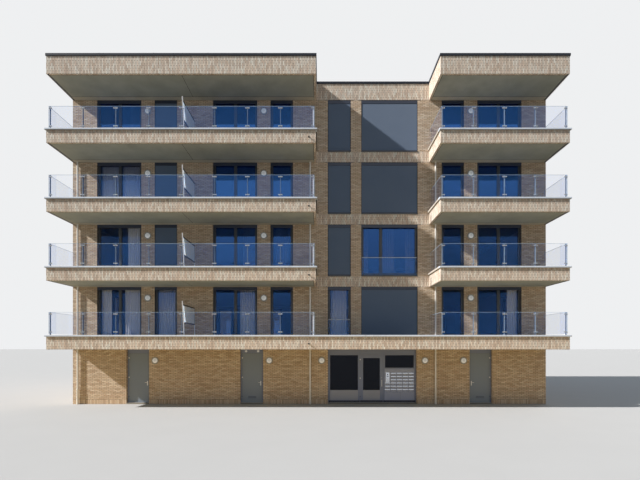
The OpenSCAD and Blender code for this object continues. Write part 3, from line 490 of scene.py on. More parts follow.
class Wall:
    """One side of the building: a distance along it, a depth into it and a height."""

    def __init__(self, along, out, face):
        self.along = Vector(along)
        self.out = Vector(out)
        self.face = face

    def point(self, u, depth, z):
        return self.along * u + self.out * (self.face - depth) + Vector((0, 0, z))

    def span(self, lo, hi):
        """Lowest and highest (u, depth, z) of a box."""
        ends = [lo.dot(self.along), hi.dot(self.along)]
        depths = [self.face - lo.dot(self.out), self.face - hi.dot(self.out)]
        return (min(ends), min(depths), lo.z), (max(ends), max(depths), hi.z)


walls = [
    Wall((1, 0, 0), (0, -1, 0), -FRONT),
    Wall((1, 0, 0), (0, 1, 0), REAR),
    Wall((0, 1, 0), (-1, 0, 0), -LEFT),
    Wall((0, 1, 0), (1, 0, 0), RIGHT),
]
front_wall = walls[0]


def near(place, reach):
    return place - reach, place + reach


def mm(*pairs, at=(0.0, 0.0)):
    """An outline given in millimetres from a point."""
    return [(at[0] + a / 1000, at[1] + b / 1000) for a, b in pairs]


def bands(n, pairs):
    """Faces that join pairs of outlines, which follow each other with n points each."""
    ends = [(i, (i + 1) % n) for i in range(n)]
    return [(a * n + i, a * n + j, b * n + j, b * n + i) for a, b in pairs for i, j in ends]


def kept_inside(low, high, axis):
    """Holds two ends just inside the overall box of the part."""
    return max(low, cad_bounds[0][axis] + 0.0002), min(high, cad_bounds[1][axis] - 0.0002)


def solids(node_name):
    """Lowest and highest corner of each loose solid of a CAD node."""
    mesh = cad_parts[node_name].data
    keys = [tuple(round(c, 4) for c in vertex.co) for vertex in mesh.vertices]
    parent = {key: key for key in keys}

    def root(key):
        while parent[key] != key:
            parent[key] = parent[parent[key]]
            key = parent[key]
        return key

    for edge in mesh.edges:
        a, b = edge.vertices
        parent[root(keys[a])] = root(keys[b])
    groups = {}
    for key, vertex in zip(keys, mesh.vertices):
        groups.setdefault(root(key), []).append(vertex.co)
    boxes = [[Vector([end(axis) for axis in zip(*group)]) for end in (min, max)] for group in groups.values()]
    return sorted(boxes, key=lambda box: tuple(box[0]))


def solids_on_walls(node_name):
    """Each loose solid's wall, and its lowest and highest (u, depth, z) there."""
    for lo, hi in solids(node_name):
        middle = (lo + hi) / 2
        wall = min(walls, key=lambda w: abs(w.face - middle.dot(w.out)))
        yield wall, *wall.span(lo, hi)


def front_box(node_name):
    return front_wall.span(*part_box(node_name))


def round_solids(node_name):
    """Each loose solid with its middle and its radius."""
    for lo, hi in solids(node_name):
        yield lo, hi, [(a + b) / 2 for a, b in zip(lo, hi)], (hi.x - lo.x) / 2


def soften(piece, width):
    edge = piece.modifiers.new("soft_edges", "BEVEL")
    edge.width = width
    edge.segments = 2
    edge.limit_method = "ANGLE"
    edge.angle_limit = math.radians(50)


def add_mesh(name, points, faces, material):
    mesh = bpy.data.meshes.new(name)
    mesh.from_pydata(points, [], faces)
    mesh.materials.append(material)
    return link(bpy.data.objects.new(name, mesh))


def smooth(mesh):
    mesh.polygons.foreach_set("use_smooth", [True] * len(mesh.polygons))


class Shape:
    """Points and faces that become one piece on a body."""

    def __init__(self, name, material, slot, body="building", bevel=0.0, rounded=False):
        self.name = name
        self.material = material
        self.slot = slot
        self.body = body
        self.bevel = bevel
        self.rounded = rounded
        self.points = []
        self.faces = []

    def add(self, points, faces):
        start = len(self.points)
        self.points.extend(tuple(p) for p in points)
        self.faces.extend([start + i for i in face] for face in faces)

    def corners(self, points):
        self.add(points, [(0, 2, 3, 1), (4, 5, 7, 6), (0, 1, 5, 4), (2, 6, 7, 3), (0, 4, 6, 2), (1, 3, 7, 5)])

    def box(self, x, y, z):
        """A box given by its two ends along x, y and z."""
        self.corners([(a, b, c) for c in z for b in y for a in x])

    def wall_box(self, u, depth, z, wall=front_wall):
        """A box given by its two ends along a wall, into it and up it."""
        self.corners([wall.point(a, b, c) for c in z for b in depth for a in u])

    def sweep(self, sections):
        """Joins closed outlines of equal length, with a face over each end."""
        n = len(sections[0])
        last = len(sections) - 1
        faces = bands(n, [(i, i + 1) for i in range(last)])
        faces += [range(n - 1, -1, -1), range(last * n, last * n + n)]
        self.add([p for section in sections for p in section], faces)

    def wall_bar(self, u, outline, wall=front_wall):
        """A bar along a wall with its outline in (depth, z)."""
        self.sweep([[wall.point(a, depth, z) for depth, z in outline] for a in u])

    def bar(self, x, outline):
        """A bar along x with its outline in (y, z)."""
        self.sweep([[(a, y, z) for y, z in outline] for a in x])

    def frame(self, lo, hi, outline, base=None, wall=front_wall):
        """A mitred frame round an opening, its outline in (inset, depth) from a base or the lowest depth."""
        base = lo[1] if base is None else base
        points = []
        for right, top in ((0, 0), (1, 0), (1, 1), (0, 1)):
            for inset, depth in outline:
                u = hi[0] - inset if right else lo[0] + inset
                z = hi[2] - inset if top else lo[2] + inset
                points.append(wall.point(u, base + depth, z))
        self.add(points, bands(len(outline), [(0, 1), (1, 2), (2, 3), (3, 0)]))

    def turned(self, profile, centre, steps, around=0.0, axis=FORWARD):
        """Spins points given as (radius beyond the one around, distance along the axis)."""
        axis = Vector(axis).normalized()
        side = axis.orthogonal().normalized()
        up = axis.cross(side)
        angles = [2 * math.pi * i / steps for i in range(steps)]
        spokes = [side * math.cos(angle) + up * math.sin(angle) for angle in angles]
        self.sweep([[Vector(centre) + axis * along + spoke * (around + radius) for spoke in spokes]
                    for radius, along in profile])

    def bolt(self, centre, axis, r):
        self.turned([(r * 1.7, 0.0), (r * 1.7, 0.002), (r, 0.0022), (r, 0.007), (r * 0.8, 0.009)],
                    centre, 12, axis=axis)

    def build(self):
        piece = add_mesh(self.name, self.points, self.faces, self.material)
        work = bmesh.new()
        work.from_mesh(piece.data)
        bmesh.ops.recalc_face_normals(work, faces=work.faces)
        work.to_mesh(piece.data)
        work.free()
        if self.rounded:
            smooth(piece.data)
            piece.data.set_sharp_from_angle(angle=math.radians(35))
        if self.bevel:
            soften(piece, self.bevel)
        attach(piece, self.body)


def build(*shapes):
    for shape in shapes:
        shape.build()


# Soft edges on the carried-over solids

def soften_carried():
    for width, names in (
            (0.012, "lip_fronts lip_returns"),
            (0.008, "coping_runs coping_returns"),
            (0.006, "screen_cassettes screen_bars"),
            (0.005, "divider_rails divider_uprights"),
            (0.004, "fascia_fronts fascia_returns window_sills guard_caps intercom"),
            (0.003, "screen_guides balustrade_posts glass_clamps doorway_posts doorway_rails"),
            (0.003, "entrance_leaf left_door_leaf middle_door_leaf right_door_leaf"),
            (0.002, "mailbox_flaps")):
        for name in names.split():
            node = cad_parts[name]
            node.modifiers.new("joined_corners", "WELD").merge_threshold = 0.0001
            soften(node, width)


# Windows: sashes and gaskets round every pane, folded sills and lintels

def make_windows():
    sashes = Shape("window_sashes", frame_coat, "dark_metal")
    gaskets = Shape("window_gaskets", black_rubber, "dark_metal")
    for wall, start, end in solids_on_walls("window_panes"):
        back = end[1]
        sashes.frame(start, end, mm(
            (-62, -26), (-62, -34), (-59, -37), (-6, -37), (-2, -34), (0, -4), (0, 2)), wall=wall)
        sashes.frame(start, end, mm((-62, 26), (-62, 36), (-4, 36), (0, 30), (0, -2)), back, wall)
        gaskets.frame(start, end, mm((-2, 1), (-2, -9), (6, -5), (9, 1)), wall=wall)
        gaskets.frame(start, end, mm((-2, -1), (-2, 8), (6, 5), (9, -1)), back, wall)
    build(sashes, gaskets)

    sills = Shape("sill_flashings", frame_coat, "dark_metal")
    lintels = Shape("window_lintels", frame_coat, "dark_metal")
    slabs = solids("balcony_slabs")
    for wall, start, end in solids_on_walls("window_sills"):
        nose = start[1]
        top = end[2]
        sills.wall_bar((start[0] + 0.002, end[0] - 0.002), [
            (0.102, top + 0.012), (0.102, top - 0.002), (nose + 0.004, top - 0.008),
            (nose + 0.001, top - 0.03), (nose - 0.001, top - 0.03), (nose - 0.001, top - 0.002)], wall)
        head = top - SILL + OPENING
        under_slab = wall is front_wall and any(
            lo.x < start[0] and hi.x > end[0] and abs(lo.z - head) < 0.1 for lo, hi in slabs)
        if not under_slab:
            lintels.wall_bar((start[0] - 0.15, end[0] + 0.15), mm(
                (100, 1), (100, -7), (-5, -7), (-5, 4), (0, 4), (0, 1), at=(0.0, head)), wall)
    build(sills, lintels)


# Screens: slots in the guides, joints in the cassettes, end caps on the bottom bars

def make_screens():
    slots = Shape("guide_slots", dark_slot, "dark_metal")
    for lo, hi in solids("screen_guides"):
        slots.box(near((lo.x + hi.x) / 2, 0.005), (lo.y - SKIM, lo.y + 0.004), (lo.z + 0.01, hi.z - 0.01))
    joints = Shape("cassette_joints", dark_slot, "dark_metal")
    for lo, hi in solids("screen_cassettes"):
        y = (lo.y - 0.001, lo.y + 0.004)
        joints.box((lo.x + 0.004, hi.x - 0.004), y, (lo.z + 0.018, lo.z + 0.021))
        for x in (lo.x + 0.02, hi.x - 0.02):
            joints.box(near(x, 0.001), y, (lo.z + 0.006, hi.z - 0.006))
    caps = Shape("bar_end_caps", black_rubber, "dark_metal", bevel=0.002)
    for lo, hi in solids("screen_bars"):
        for x in (lo.x, hi.x - 0.012):
            caps.box((x, x + 0.012), (lo.y - 0.003, hi.y + 0.003), (lo.z - 0.002, hi.z + 0.002))
    build(slots, joints, caps)


# Balconies: soffit strips, joints in the lips, post feet, clamp screws and glass edges

def make_soffits():
    angles = Shape("return_edge_shade", painted_edge_shade, "dark_metal")
    strips = Shape("soffit_strips", strip_render, "concrete", bevel=0.003)
    grooves = Shape("soffit_grooves", dark_slot, "concrete")
    edge = FRONT - 0.27
    for lo, hi in solids("balcony_slabs"):
        inner_x = (lo.x + 0.004, hi.x - 0.004)
        z = lo.z
        strips.box((lo.x + 0.01, hi.x - 0.01), (edge, FRONT - 0.004), (z - 0.008, z + 0.002))
        grooves.box(inner_x, (edge - 0.022, edge - 0.004), (z - 0.0015, z + 0.002))
        if lo.x < DIVIDER < hi.x:
            grooves.box(near(DIVIDER, 0.007), (lo.y + 0.01, edge - 0.02), (z - 0.0015, z + 0.002))
        for x in (lo.x + 0.004, hi.x - 0.016):
            grooves.box((x, x + 0.012), (lo.y + 0.004, FRONT - 0.004), (z - 0.0012, z + 0.002))
        grooves.box(inner_x, (lo.y + 0.004, lo.y + 0.016), (z - 0.0012, z + 0.002))
    # Under the outer end of each end return, a dark strip: painted shade along that edge.
    for lo, hi in solids("fascia_returns"):
        for x, side in ((lo.x, 1), (hi.x, -1)):
            if min(abs(x - end) for end in (LEFT, RIGHT)) < 0.01:
                angles.box(sorted((x + side * 0.022, x + side * 0.095)), (FASCIA + 0.02, FRONT - 0.002),
                           (lo.z - 0.004, lo.z + 0.001))
    build(angles, strips, grooves)


def make_lips():
    joints = Shape("lip_joints", mastic, "pale_concrete")
    # Dark render under each lip overhang: painted shade under the lips.
    undersides = Shape("lip_undersides_painted_shade", painted_shade_render, "pale_concrete")
    for lo, hi in solids("lip_fronts"):
        count = max(2, round((hi.x - lo.x) / LIP_LENGTH))
        step = (hi.x - lo.x) / count
        for i in range(1, count):
            joints.box(near(lo.x + i * step, 0.004), (lo.y - JOINT_SKIM, hi.y + JOINT_SKIM),
                       (lo.z + 0.002, hi.z + JOINT_SKIM))
        undersides.box((lo.x + 0.014, hi.x - 0.014), (lo.y + 0.014, FASCIA - 0.001),
                       (lo.z - 0.001, lo.z + 0.004))
    fascias = solids("fascia_returns")
    for lo, hi in solids("lip_returns"):
        inner, outer = min(fascias, key=lambda b: abs(b[0].x - lo.x) + abs(b[1].z - lo.z))
        if hi.x - outer.x > 0.03:
            x = (outer.x + 0.001, hi.x - 0.014)
        else:
            x = (lo.x + 0.014, inner.x - 0.001)
        undersides.box(sorted(x), (lo.y, hi.y - 0.004), (lo.z - 0.001, lo.z + 0.004))
        for y in (lo.y, (lo.y + hi.y) / 2):
            joints.box(kept_inside(lo.x - JOINT_SKIM, hi.x + JOINT_SKIM, 0), near(y, 0.004),
                       (lo.z + 0.002, hi.z + JOINT_SKIM))
    build(joints, undersides)


def make_balustrades():
    bars = Shape("end_bars", white_metal, "galvanised_steel", bevel=0.002)
    feet = Shape("post_feet", post_zinc, "galvanised_steel", bevel=0.002)
    bolts = Shape("balcony_bolts", brushed, "galvanised_steel", rounded=True)
    fronts = solids("fascia_fronts")
    recess_ends = [hi.x for lo, hi in fronts if abs(hi.x) < 3.0]
    for lo, hi in solids("balustrade_posts"):
        x = (lo.x + hi.x) / 2
        feet.box(near(x, 0.045), (lo.y - 0.012, hi.y + 0.02), (lo.z, lo.z + 0.010))
        feet.box((lo.x - 0.0015, hi.x + 0.0015), (lo.y - 0.0015, hi.y + 0.0015), (hi.z - 0.004, hi.z + 0.002))
        for side in (-1, 1):
            for y in (lo.y + 0.006, hi.y + 0.002):
                bolts.bolt((x + side * 0.03, y, lo.z + 0.010), UP, 0.006)
        if hi.y < FASCIA + 0.3 and any(abs(x - end) < 0.2 for end in recess_ends):
            bars.box(near(x, 0.024), (lo.y - 0.009, lo.y - 0.001), (lo.z + 0.012, hi.z + 0.001))
    build(bars, feet)

    edges = Shape("glass_edges", edge_glass, "clear_glass")
    for lo, hi in solids("balustrade_glass"):
        wide = (lo.x - SKIM, hi.x + SKIM)
        deep = (lo.y - SKIM, hi.y + SKIM)
        side = (lo.z, hi.z - 0.010)
        edges.box(wide, deep, (hi.z - 0.010, hi.z + 0.001))
        if hi.x - lo.x > hi.y - lo.y:
            for x in (lo.x, hi.x):
                edges.box(near(x, JOINT_SKIM), deep, side)
        else:
            edges.box(wide, near(lo.y, JOINT_SKIM), side)
    pads = Shape("clamp_pads", black_rubber, "galvanised_steel")
    left_ends = (LEFT, max(lo.x for lo, hi in fronts))
    for lo, hi in solids("glass_clamps"):
        z = (lo.z + hi.z) / 2
        if hi.y > FRONT - 0.001:
            for x, side in ((lo.x, -1), (hi.x, 1)):
                bolts.bolt((x, (lo.y + hi.y) / 2, z), (side, 0, 0), 0.004)
            continue
        spots = [lo.x + 0.023, hi.x - 0.023]
        if hi.x - lo.x <= 0.17:
            spots = spots[1:] if any(abs(lo.x - end) < 0.15 for end in left_ends) else spots[:1]
        pane = lo.y + 0.012
        for x in spots:
            bolts.bolt((x, lo.y, z), FORWARD, 0.0065)
            pads.box(near(x, 0.0245), (pane - 0.0025, pane + 0.0002), (lo.z - 0.0015, hi.z + 0.0015))
    build(edges, pads, bolts)


def make_dividers():
    beads = Shape("divider_beads", frame_coat, "dark_metal", bevel=0.002)
    clips = Shape("divider_clips", zinc, "galvanised_steel", bevel=0.002)
    for lo, hi in solids("divider_panels"):
        x = (lo.x - 0.008, hi.x + 0.008)
        for z, y in ((lo.z, lo.y + 0.22), (hi.z - 0.012, lo.y + 0.11)):
            beads.box(x, (y, hi.y), (z, z + 0.012))
        beads.box(x, (hi.y - 0.012, hi.y), (lo.z + 0.013, hi.z - 0.013))
        for share in (0.35, 0.7):
            y = lo.y + (hi.y - lo.y) * share
            for z in (lo.z + 0.012, hi.z - 0.042):
                clips.box((lo.x - 0.012, hi.x + 0.012), near(y, 0.02), (z, z + 0.03))
    for lo, hi in solids("divider_uprights"):
        if hi.y - lo.y > 0.1:
            clips.box((lo.x - 0.025, hi.x + 0.025), (hi.y - 0.075, hi.y + 0.03), (lo.z, lo.z + 0.008))
            clips.box((lo.x - 0.001, hi.x + 0.001), (lo.y - 0.001, lo.y + 0.042), near(hi.z, 0.003))
    build(beads, clips)


# Downpipes, spouts and lamps

def make_pipes():
    flanges = Shape("spout_flanges", spout_metal, "galvanised_steel", rounded=True)
    rings = Shape("pipe_collars", pipe_zinc, "galvanised_steel", rounded=True)
    straps = Shape("pipe_straps", pipe_zinc, "galvanised_steel", bevel=0.002)
    for lo, hi, (x, y, _), r in round_solids("downpipes"):
        on_ground = lo.z < 0.01
        for z in (lo.z + 1.05, hi.z - 0.25) if on_ground else (lo.z + 0.35, hi.z - 0.35):
            rings.turned(mm((0.5, -14), (5, -13), (5, 13), (0.5, 14)), (x, y, z), 24, r, UP)
            straps.box(near(x, 0.006), (y + r, FRONT + 0.001), near(z, 0.008))
            straps.box(near(x, 0.02), (FRONT - 0.004, FRONT + 0.001), near(z, 0.02))
            for side in (-1, 1):
                straps.box(near(x + side * (r + 0.010), 0.008), near(y, 0.006), near(z, 0.010))
        if on_ground:
            rings.turned(mm((0.5, 0), (11, 1), (11, 700), (14, 705), (14, 745), (8, 755), (0.5, 756)),
                         (x, y, 0.001), 28, r, UP)
        for z in (hi.z - 0.055,) if on_ground else (lo.z + 0.02, hi.z - 0.055):
            rings.turned(mm((0.5, 0), (6, 3), (6, 50), (0.5, 53)), (x, y, z), 24, r, UP)
    for lo, hi, (x, _, z), r in round_solids("overflow_spouts"):
        flanges.turned(mm((0.5, -1), (14, 0), (14, 3), (0.5, 5)), (x, hi.y, z), 24, r)
    build(flanges, rings, straps)


def make_lamps():
    rims = Shape("lamp_rims", lamp_rim, "opal_plastic", rounded=True)
    caps = Shape("lamp_caps", lamp_cap, "opal_plastic", rounded=True)
    for lo, hi, (x, _, z), r in round_solids("wall_lamps"):
        centre = (x, hi.y, z)
        rims.turned(mm((-2, 0), (12, 1), (14, 4), (14, 52), (10, 58), (2, 60), (-6, 57)),
                    centre, 48, r)
        deep = hi.y - lo.y
        caps.turned([(r * 0.42, deep * 0.86), (r * 0.40, deep * 0.93), (r * 0.36, deep + 0.001),
                     (r * 0.10, deep + 0.003), (0.001, deep + 0.003)], centre, 36)
    build(rims, caps)


# Ground storey: beads, mailboxes, intercom, grilles, locks and thresholds

def make_entrance():
    beads = Shape("entrance_beads", entrance_coat, "dark_metal")
    rubber = Shape("entrance_gaskets", black_rubber, "dark_metal")
    lights = [front_wall.span(lo, hi) for lo, hi in solids("entrance_lights")]
    for start, end in lights:
        beads.frame(start, end, mm((-4, -30), (-2, -33), (16, -33), (20, -29), (20, 1), (-4, 1)))
        rubber.frame(start, end, mm((18, 1), (18, -6), (26, -2), (27, 1)))
    build(beads, rubber)

    pane, pane_end = front_box("entrance_leaf_glass")
    leaf, leaf_end = front_box("entrance_leaf")
    face = leaf[1]
    leaf_beads = Shape("entrance_leaf_beads", entrance_coat, "dark_metal", "entrance_door")
    leaf_beads.frame(pane, pane_end, mm((-4, -16), (-2, -21), (16, -21), (20, -17), (20, 1), (-4, 1)))
    leaf_beads.wall_box((leaf[0] + 0.02, leaf_end[0] - 0.02), (face - 0.0015, face + 0.002),
                        (leaf[2] + 0.012, leaf[2] + 0.085))
    leaf_kick = Shape("entrance_leaf_kick_panel", kick_coat, "dark_metal", "entrance_door", 0.003)
    leaf_kick.wall_box((pane[0] - 0.004, pane_end[0] + 0.004), (face + 0.004, face + 0.022),
                       (pane[2] - 0.01, KICK))
    # A dark strip at the foot of the leaf: painted shade.
    leaf_foot = Shape("entrance_leaf_foot_shade", foot_shade_coat, "dark_metal", "entrance_door")
    leaf_foot.wall_box((leaf[0] + 0.002, leaf_end[0] - 0.002), (face - 0.0025, face + 0.002),
                       (leaf[2] + 0.002, FOOT_SHADE_TOP))

    post = front_box("doorway_posts")[0][1]
    light, light_end = lights[0]
    kick = Shape("entrance_kick_panel", kick_coat, "dark_metal", bevel=0.003)
    kick.wall_box((light[0] - 0.004, light_end[0] + 0.004), (post + 0.006, light[1] + 0.001),
                  (light[2] - 0.004, KICK))
    # Dark strips at the foot of the entrance beside the leaf: painted shade.
    foot = Shape("entrance_foot_shade", foot_shade_coat, "dark_metal")
    panel_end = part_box("mailbox_panel")[1].x
    for u in ((light[0] - 0.06, leaf[0] - 0.012), (leaf_end[0] + 0.012, panel_end + 0.06)):
        foot.wall_box(u, (post - 0.004, post + 0.002), (THRESHOLD + 0.0003, FOOT_SHADE_TOP))
    lock = Shape("entrance_lock", brushed, "brushed_metal", "entrance_door", rounded=True)
    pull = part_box("entrance_fittings")[1].x
    lock.turned(mm((21, 0), (21, 4), (17, 6), (10, 6.2), (9, 12), (4, 12.5)),
                front_wall.point(pull - 0.016, face, 1.26), 28)
    build(leaf_beads, leaf_kick, leaf_foot, kick, foot, lock)


def make_mailboxes():
    grooves = Shape("mailbox_grooves", dark_slot, "door_paint")
    hoods = Shape("mailbox_hoods", flap_steel, "brushed_metal")
    windows = Shape("mailbox_name_windows", name_window, "brushed_metal", bevel=0.001)
    locks = Shape("mailbox_locks", brushed, "brushed_metal", rounded=True)
    panel, panel_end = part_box("mailbox_panel")
    cut = (panel.y - SKIM, panel.y + 0.003)
    flaps = solids("mailbox_flaps")
    rows = sorted({round(lo.z, 3) for lo, hi in flaps})
    below = rows[1] - rows[0] - 0.052
    for lo, hi in flaps:
        foot = lo.z - below
        head = hi.z + 0.006
        for z in (foot, head):
            grooves.box((lo.x - 0.018, hi.x + 0.018), cut, near(z, 0.0015))
        for x in (lo.x - 0.019, hi.x + 0.019):
            grooves.box(near(x, 0.0015), cut, (foot, head))
        grooves.box((lo.x + 0.006, hi.x - 0.006), (lo.y - SKIM, lo.y + 0.006), (lo.z - 0.010, lo.z - 0.001))
        hoods.bar((lo.x + 0.002, hi.x - 0.002), mm(
            (-1, -1), (-10, -4), (-10, -6), (-1, -7), at=(lo.y, hi.z)))
        x = (lo.x + hi.x) / 2
        z = lo.z - 0.043
        windows.box((x - 0.045, x + 0.015), (panel.y - 0.0022, panel.y + 0.001), near(z, 0.009))
        locks.turned(mm((9, 0), (9, 3), (7, 4.5), (2, 4.7)), (hi.x - 0.035, panel.y, z), 16)
    seam = panel.x + (panel_end.x - panel.x) * 0.53
    grooves.box(near(seam, 0.002), cut, (panel.z + 0.02, rows[0] - below))
    build(grooves, hoods, windows, locks)


def make_intercom():
    lo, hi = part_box("intercom")
    middle = (lo.x + hi.x) / 2
    rim = Shape("intercom_rim", brushed, "brushed_metal")
    rim.frame(*front_wall.span(lo, hi), mm((-6, 20), (-6, 4), (-2, -2), (6, -2), (10, 2)))
    eye = Shape("intercom_eye", gloss_black, "brushed_metal", rounded=True)
    eye.turned(mm((30, -1), (30, 4), (27, 6), (4, 9)), (middle, lo.y, hi.z - 0.10), 32)
    eye.box(near(middle, 0.05), (lo.y - 0.001, lo.y + 0.002), (hi.z - 0.205, hi.z - 0.165))
    keys = Shape("intercom_keys", lamp_rim, "brushed_metal", rounded=True)
    pitch = 0.042
    for row in range(5):
        for column in (-1, 0, 1):
            keys.turned(mm((13, 0), (13, 3), (11, 5), (2, 5.2)),
                        (middle + column * pitch, lo.y, lo.z + 0.035 + row * pitch), 20)
    build(rim, eye, keys)


def make_doors():
    gaskets = Shape("door_gaskets", black_rubber, "dark_metal")
    plates = Shape("threshold_plates", brushed, "brushed_metal")
    for body in ("left_door", "middle_door", "right_door"):
        start, end = front_box(body + "_leaf")
        face = start[1]
        opening = (start[0] - DOOR_GAP, face, start[2]), (end[0] + DOOR_GAP, face, end[2] + DOOR_GAP)
        gaskets.frame(*opening, mm((-1, 12), (-1, 30), (5, 30), (5, 12)))
        plates.wall_bar((start[0] - 0.03, end[0] + 0.03), [
            (0.10, THRESHOLD), (0.10, 0.064), (0.13, 0.067), (0.20, 0.067), (0.215, THRESHOLD)])
        kick = Shape(body + "_kick_plate", door_coat, "door_paint", body, 0.001)
        kick.wall_box((start[0] + 0.012, end[0] - 0.012), (face - 0.0015, face + 0.002),
                      (start[2] + 0.008, start[2] + 0.15))
        fittings = solids(body + "_fittings")
        lever, lever_end = [b for b in fittings if b[1].z - b[0].z > 0.15][0]
        rose = lever.x + 0.022 if body == "right_door" else lever_end.x - 0.022
        lock = Shape(body + "_lock", brushed, "brushed_metal", body, rounded=True)
        lock.turned(mm((8.5, 0), (8.5, 12), (7.5, 13), (1, 13.2)),
                    front_wall.point(rose, face - 0.006, lever.z + 0.045), 20)
        build(kick, lock)
        for lo, hi in fittings:
            if hi.x - lo.x < 0.3:
                continue
            slats = Shape(body + "_grille_slats", door_coat, "brushed_metal", body)
            count = 6
            for i in range(count):
                z = lo.z + 0.012 + i * (hi.z - lo.z - 0.024) / count
                slats.bar((lo.x + 0.012, hi.x - 0.012), mm(
                    (1, 0), (-6, -4), (-6, -2), (1, 5), at=(lo.y, z)))
            build(slats)
    plates.wall_bar((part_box("entrance_lights")[0].x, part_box("mailbox_panel")[1].x), [
        (0.08, THRESHOLD), (0.08, 0.0635), (0.12, 0.066), (0.20, 0.066), (0.22, THRESHOLD)])
    vents = Shape("vent_rings", lamp_rim, "opal_plastic", rounded=True)
    for lo, hi, (x, _, z), r in round_solids("door_vents"):
        for share in (0.35, 0.55, 0.75):
            vents.turned(mm((3, 1), (2, -3), (-2, -3), (-3, 1)), (x, lo.y, z), 28, r * share, (0, 1, 0))
    build(gaskets, plates, vents)


# Roof edges, guards and drainage

def make_copings():
    laps = Shape("coping_laps", coping_metal, "coping_metal", bevel=0.001)
    for lo, hi in solids("coping_runs") + solids("coping_returns"):
        along = 0 if hi.x - lo.x > hi.y - lo.y else 1
        across = 1 - along
        length = hi[along] - lo[along]
        count = max(1, round(length / SHEET_LENGTH))
        for i in range(1, count):
            ends = [None, None]
            ends[along] = near(lo[along] + i * length / count, 0.03)
            ends[across] = kept_inside(lo[across] - SKIM, hi[across] + SKIM, across)
            laps.box(*ends, (lo.z + 0.002, hi.z - 0.0004))
    build(laps)


def make_guards():
    clips = Shape("guard_clips", zinc, "galvanised_steel", bevel=0.003)
    for wall, start, end in solids_on_walls("guard_glass"):
        for u in (start[0], end[0]):
            for z in (start[2] + 0.08, end[2] - 0.16):
                clips.wall_box(near(u, 0.026), (start[1] - 0.008, end[1] + 0.008), (z, z + 0.05), wall)
    build(clips)


def make_roof():
    lo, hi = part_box("roof_slab")
    top = ROOF_DECK + 0.02
    outlets = Shape("roof_outlets", zinc, "roofing_felt", rounded=True)
    for x in (-6.5, 6.5):
        for y in (-2.5, 4.5):
            outlets.turned(mm((160, 0), (160, 6), (130, 10), (100, 12), (95, 55), (85, 62), (4, 64)),
                           (x, y, top), 32, axis=UP)
    upstand = Shape("roof_upstand", dark_felt, "roofing_felt", bevel=0.004)
    thick = 0.012
    rise = (top, top + 0.16)
    for y in (lo.y, hi.y - thick):
        upstand.box((lo.x, hi.x), (y, y + thick), rise)
    for x in (lo.x, hi.x - thick):
        upstand.box((x, x + thick), (lo.y + thick, hi.y - thick), rise)
    build(outlets, upstand)


# Curtains, hung inside some of the front windows

def make_curtain(name, u0, u1, foot, head, folds, seed):
    """A pleated curtain between two places along the front, cut wider than it hangs."""
    rng = random.Random(seed)
    steps = folds * 12
    rows = 14
    depth = 0.34
    sway = [rng.uniform(0.75, 1.2) for _ in range(folds + 1)]
    lean = [rng.uniform(-0.35, 0.35) for _ in range(folds + 1)]
    points = []
    for r in range(rows + 1):
        t = r / rows
        z = foot + (head - foot) * t
        for i in range(steps + 1):
            share = i / steps
            fold = share * folds
            k = min(int(fold), folds - 1)
            blend = fold - k
            size, shift = [a[k] * (1 - blend) + a[k + 1] * blend for a in (sway, lean)]
            wave = math.sin(2 * math.pi * fold + shift * (1 - t))
            u = u0 + (u1 - u0) * share + 0.004 * math.sin(5 * math.pi * fold) * (1 - t)
            points.append(front_wall.point(u, depth + 0.032 * size * wave * (0.75 + 0.25 * (1 - t)), z))
    faces = []
    for r in range(rows):
        for i in range(steps):
            a = r * (steps + 1) + i
            faces.append((a, a + 1, a + steps + 2, a + steps + 1))
    piece = add_mesh(name, points, faces, curtain_cloth)
    smooth(piece.data)
    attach(piece, "building")
    rail = Shape(name + "_rail", lamp_rim, "galvanised_steel", bevel=0.003)
    rail.wall_box((u0 - 0.02, u1 + 0.02), near(depth, 0.012), (head, head + 0.03))
    build(rail)


def make_curtains():
    panes = [(start, end) for wall, start, end in solids_on_walls("window_panes") if wall is front_wall]

    # Code, a place along the pane, its storey, and where on the pane's width the curtain starts and ends
    for code, place, storey, start, end in (
            ("a1", -9.7, 0, 0.0, 0.5), ("a2", -8.7, 0, 0.1, 1.0), ("b1", -6.9, 0, 0.0, 1.0),
            ("a3", -8.7, 1, 0.25, 1.0), ("a4", -9.7, 2, 0.0, 1.0), ("a5", -8.7, 2, 0.0, 1.0),
            ("a6", -9.7, 3, 0.0, 0.55), ("a7", -8.7, 3, 0.35, 1.0),
            ("c1", -3.2, 0, 0.15, 1.0), ("c2", -3.2, 1, 0.3, 1.0), ("c3", -3.2, 2, 0.0, 0.5),
            ("d1", -1.3, 1, 0.15, 0.85),
            ("h1", 3.0, 1, 0.0, 0.35), ("h2", 4.8, 1, 0.0, 0.4), ("h3", 4.8, 1, 0.72, 1.0),
            ("g1", 1.4, 0, 0.1, 0.9), ("f1", 9.7, 0, 0.5, 1.0)):
        lo, hi = [b for b in panes if b[0][0] <= place <= b[1][0] and int(b[0][2] / STOREY) - 1 == storey][0]
        width = hi[0] - lo[0] + 0.06
        u0 = lo[0] - 0.03 + width * start
        u1 = lo[0] - 0.03 + width * end
        folds = max(3, round((u1 - u0) / FOLD))
        make_curtain("curtain_" + code, u0, u1, lo[2] - 0.10, hi[2] + 0.02, folds,
                     len(code) + storey + int(place * 10))


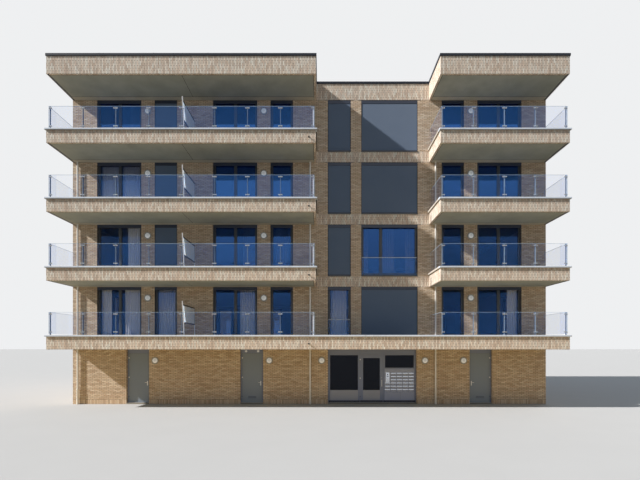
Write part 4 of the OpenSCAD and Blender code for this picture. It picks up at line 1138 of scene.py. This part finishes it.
soften_carried()
make_windows()
make_screens()
make_soffits()
make_lips()
make_balustrades()
make_dividers()
make_pipes()
make_lamps()
make_entrance()
make_mailboxes()
make_intercom()
make_doors()
make_copings()
make_guards()
make_roof()
make_curtains()


# Light: a key from the left, a broad fill and a pale room, with a pale floor under the object

def make_lights():
    for name, energy, spread, colour, toward in (
            ("key", 6.1, 1.5, (1.0, 0.97, 0.94), (0.778, 0.211, -0.591)),
            ("fill", 0.75, 60.0, (0.92, 0.96, 1.0), (-0.60, -0.78, -0.18))):
        light = bpy.data.lights.new(name, "SUN")
        light.energy = energy
        light.angle = math.radians(spread)
        light.color = colour
        lamp = link(bpy.data.objects.new(name, light))
        lamp.rotation_euler = Vector(toward).to_track_quat("-Z", "Y").to_euler()

    world = bpy.data.worlds.new("room")
    bpy.context.scene.world = world
    w = Nodes(world)
    room = w.tree.nodes["Background"]
    room.inputs["Color"].default_value = (0.70, 0.83, 1.0, 1.0)
    room.inputs["Strength"].default_value = 0.32
    pale = w.node("ShaderNodeBackground", {"Color": (0.86, 0.87, 0.88, 1.0)})
    mix = w.node("ShaderNodeMixShader", {"Fac": w.seen(), 1: room.outputs[0], 2: pale.outputs[0]})
    w.feed(w.tree.nodes["World Output"].inputs["Surface"], mix.outputs[0])


def make_floor():
    s = Shader("pale_floor", roughness=0.9, specular=0.1)
    place = s.split()
    reach = s.math("SQRT", s.times_plus(place["X"], place["X"], s.times(place["Y"], place["Y"])))
    away = s.fade(s.math("DIVIDE", reach, 30.0), 0.5, 0.8)
    bounced = s.mix(away, paint(198, 174, 128), paint(104, 103, 98))
    pale = s.mix(s.noise(0.6, 3.0), paint(186, 186, 185), paint(182, 182, 181))
    s.colour(s.mix(s.seen(), bounced, pale))
    reach = 300.0
    corners = [(-reach, -reach, 0), (reach, -reach, 0), (reach, reach, 0), (-reach, reach, 0)]
    floor = add_mesh("studio_floor", corners, [(0, 1, 2, 3)], s.material)
    floor.location.z = -0.001


make_lights()
make_floor()
bpy.context.scene.view_settings.view_transform = "Standard"
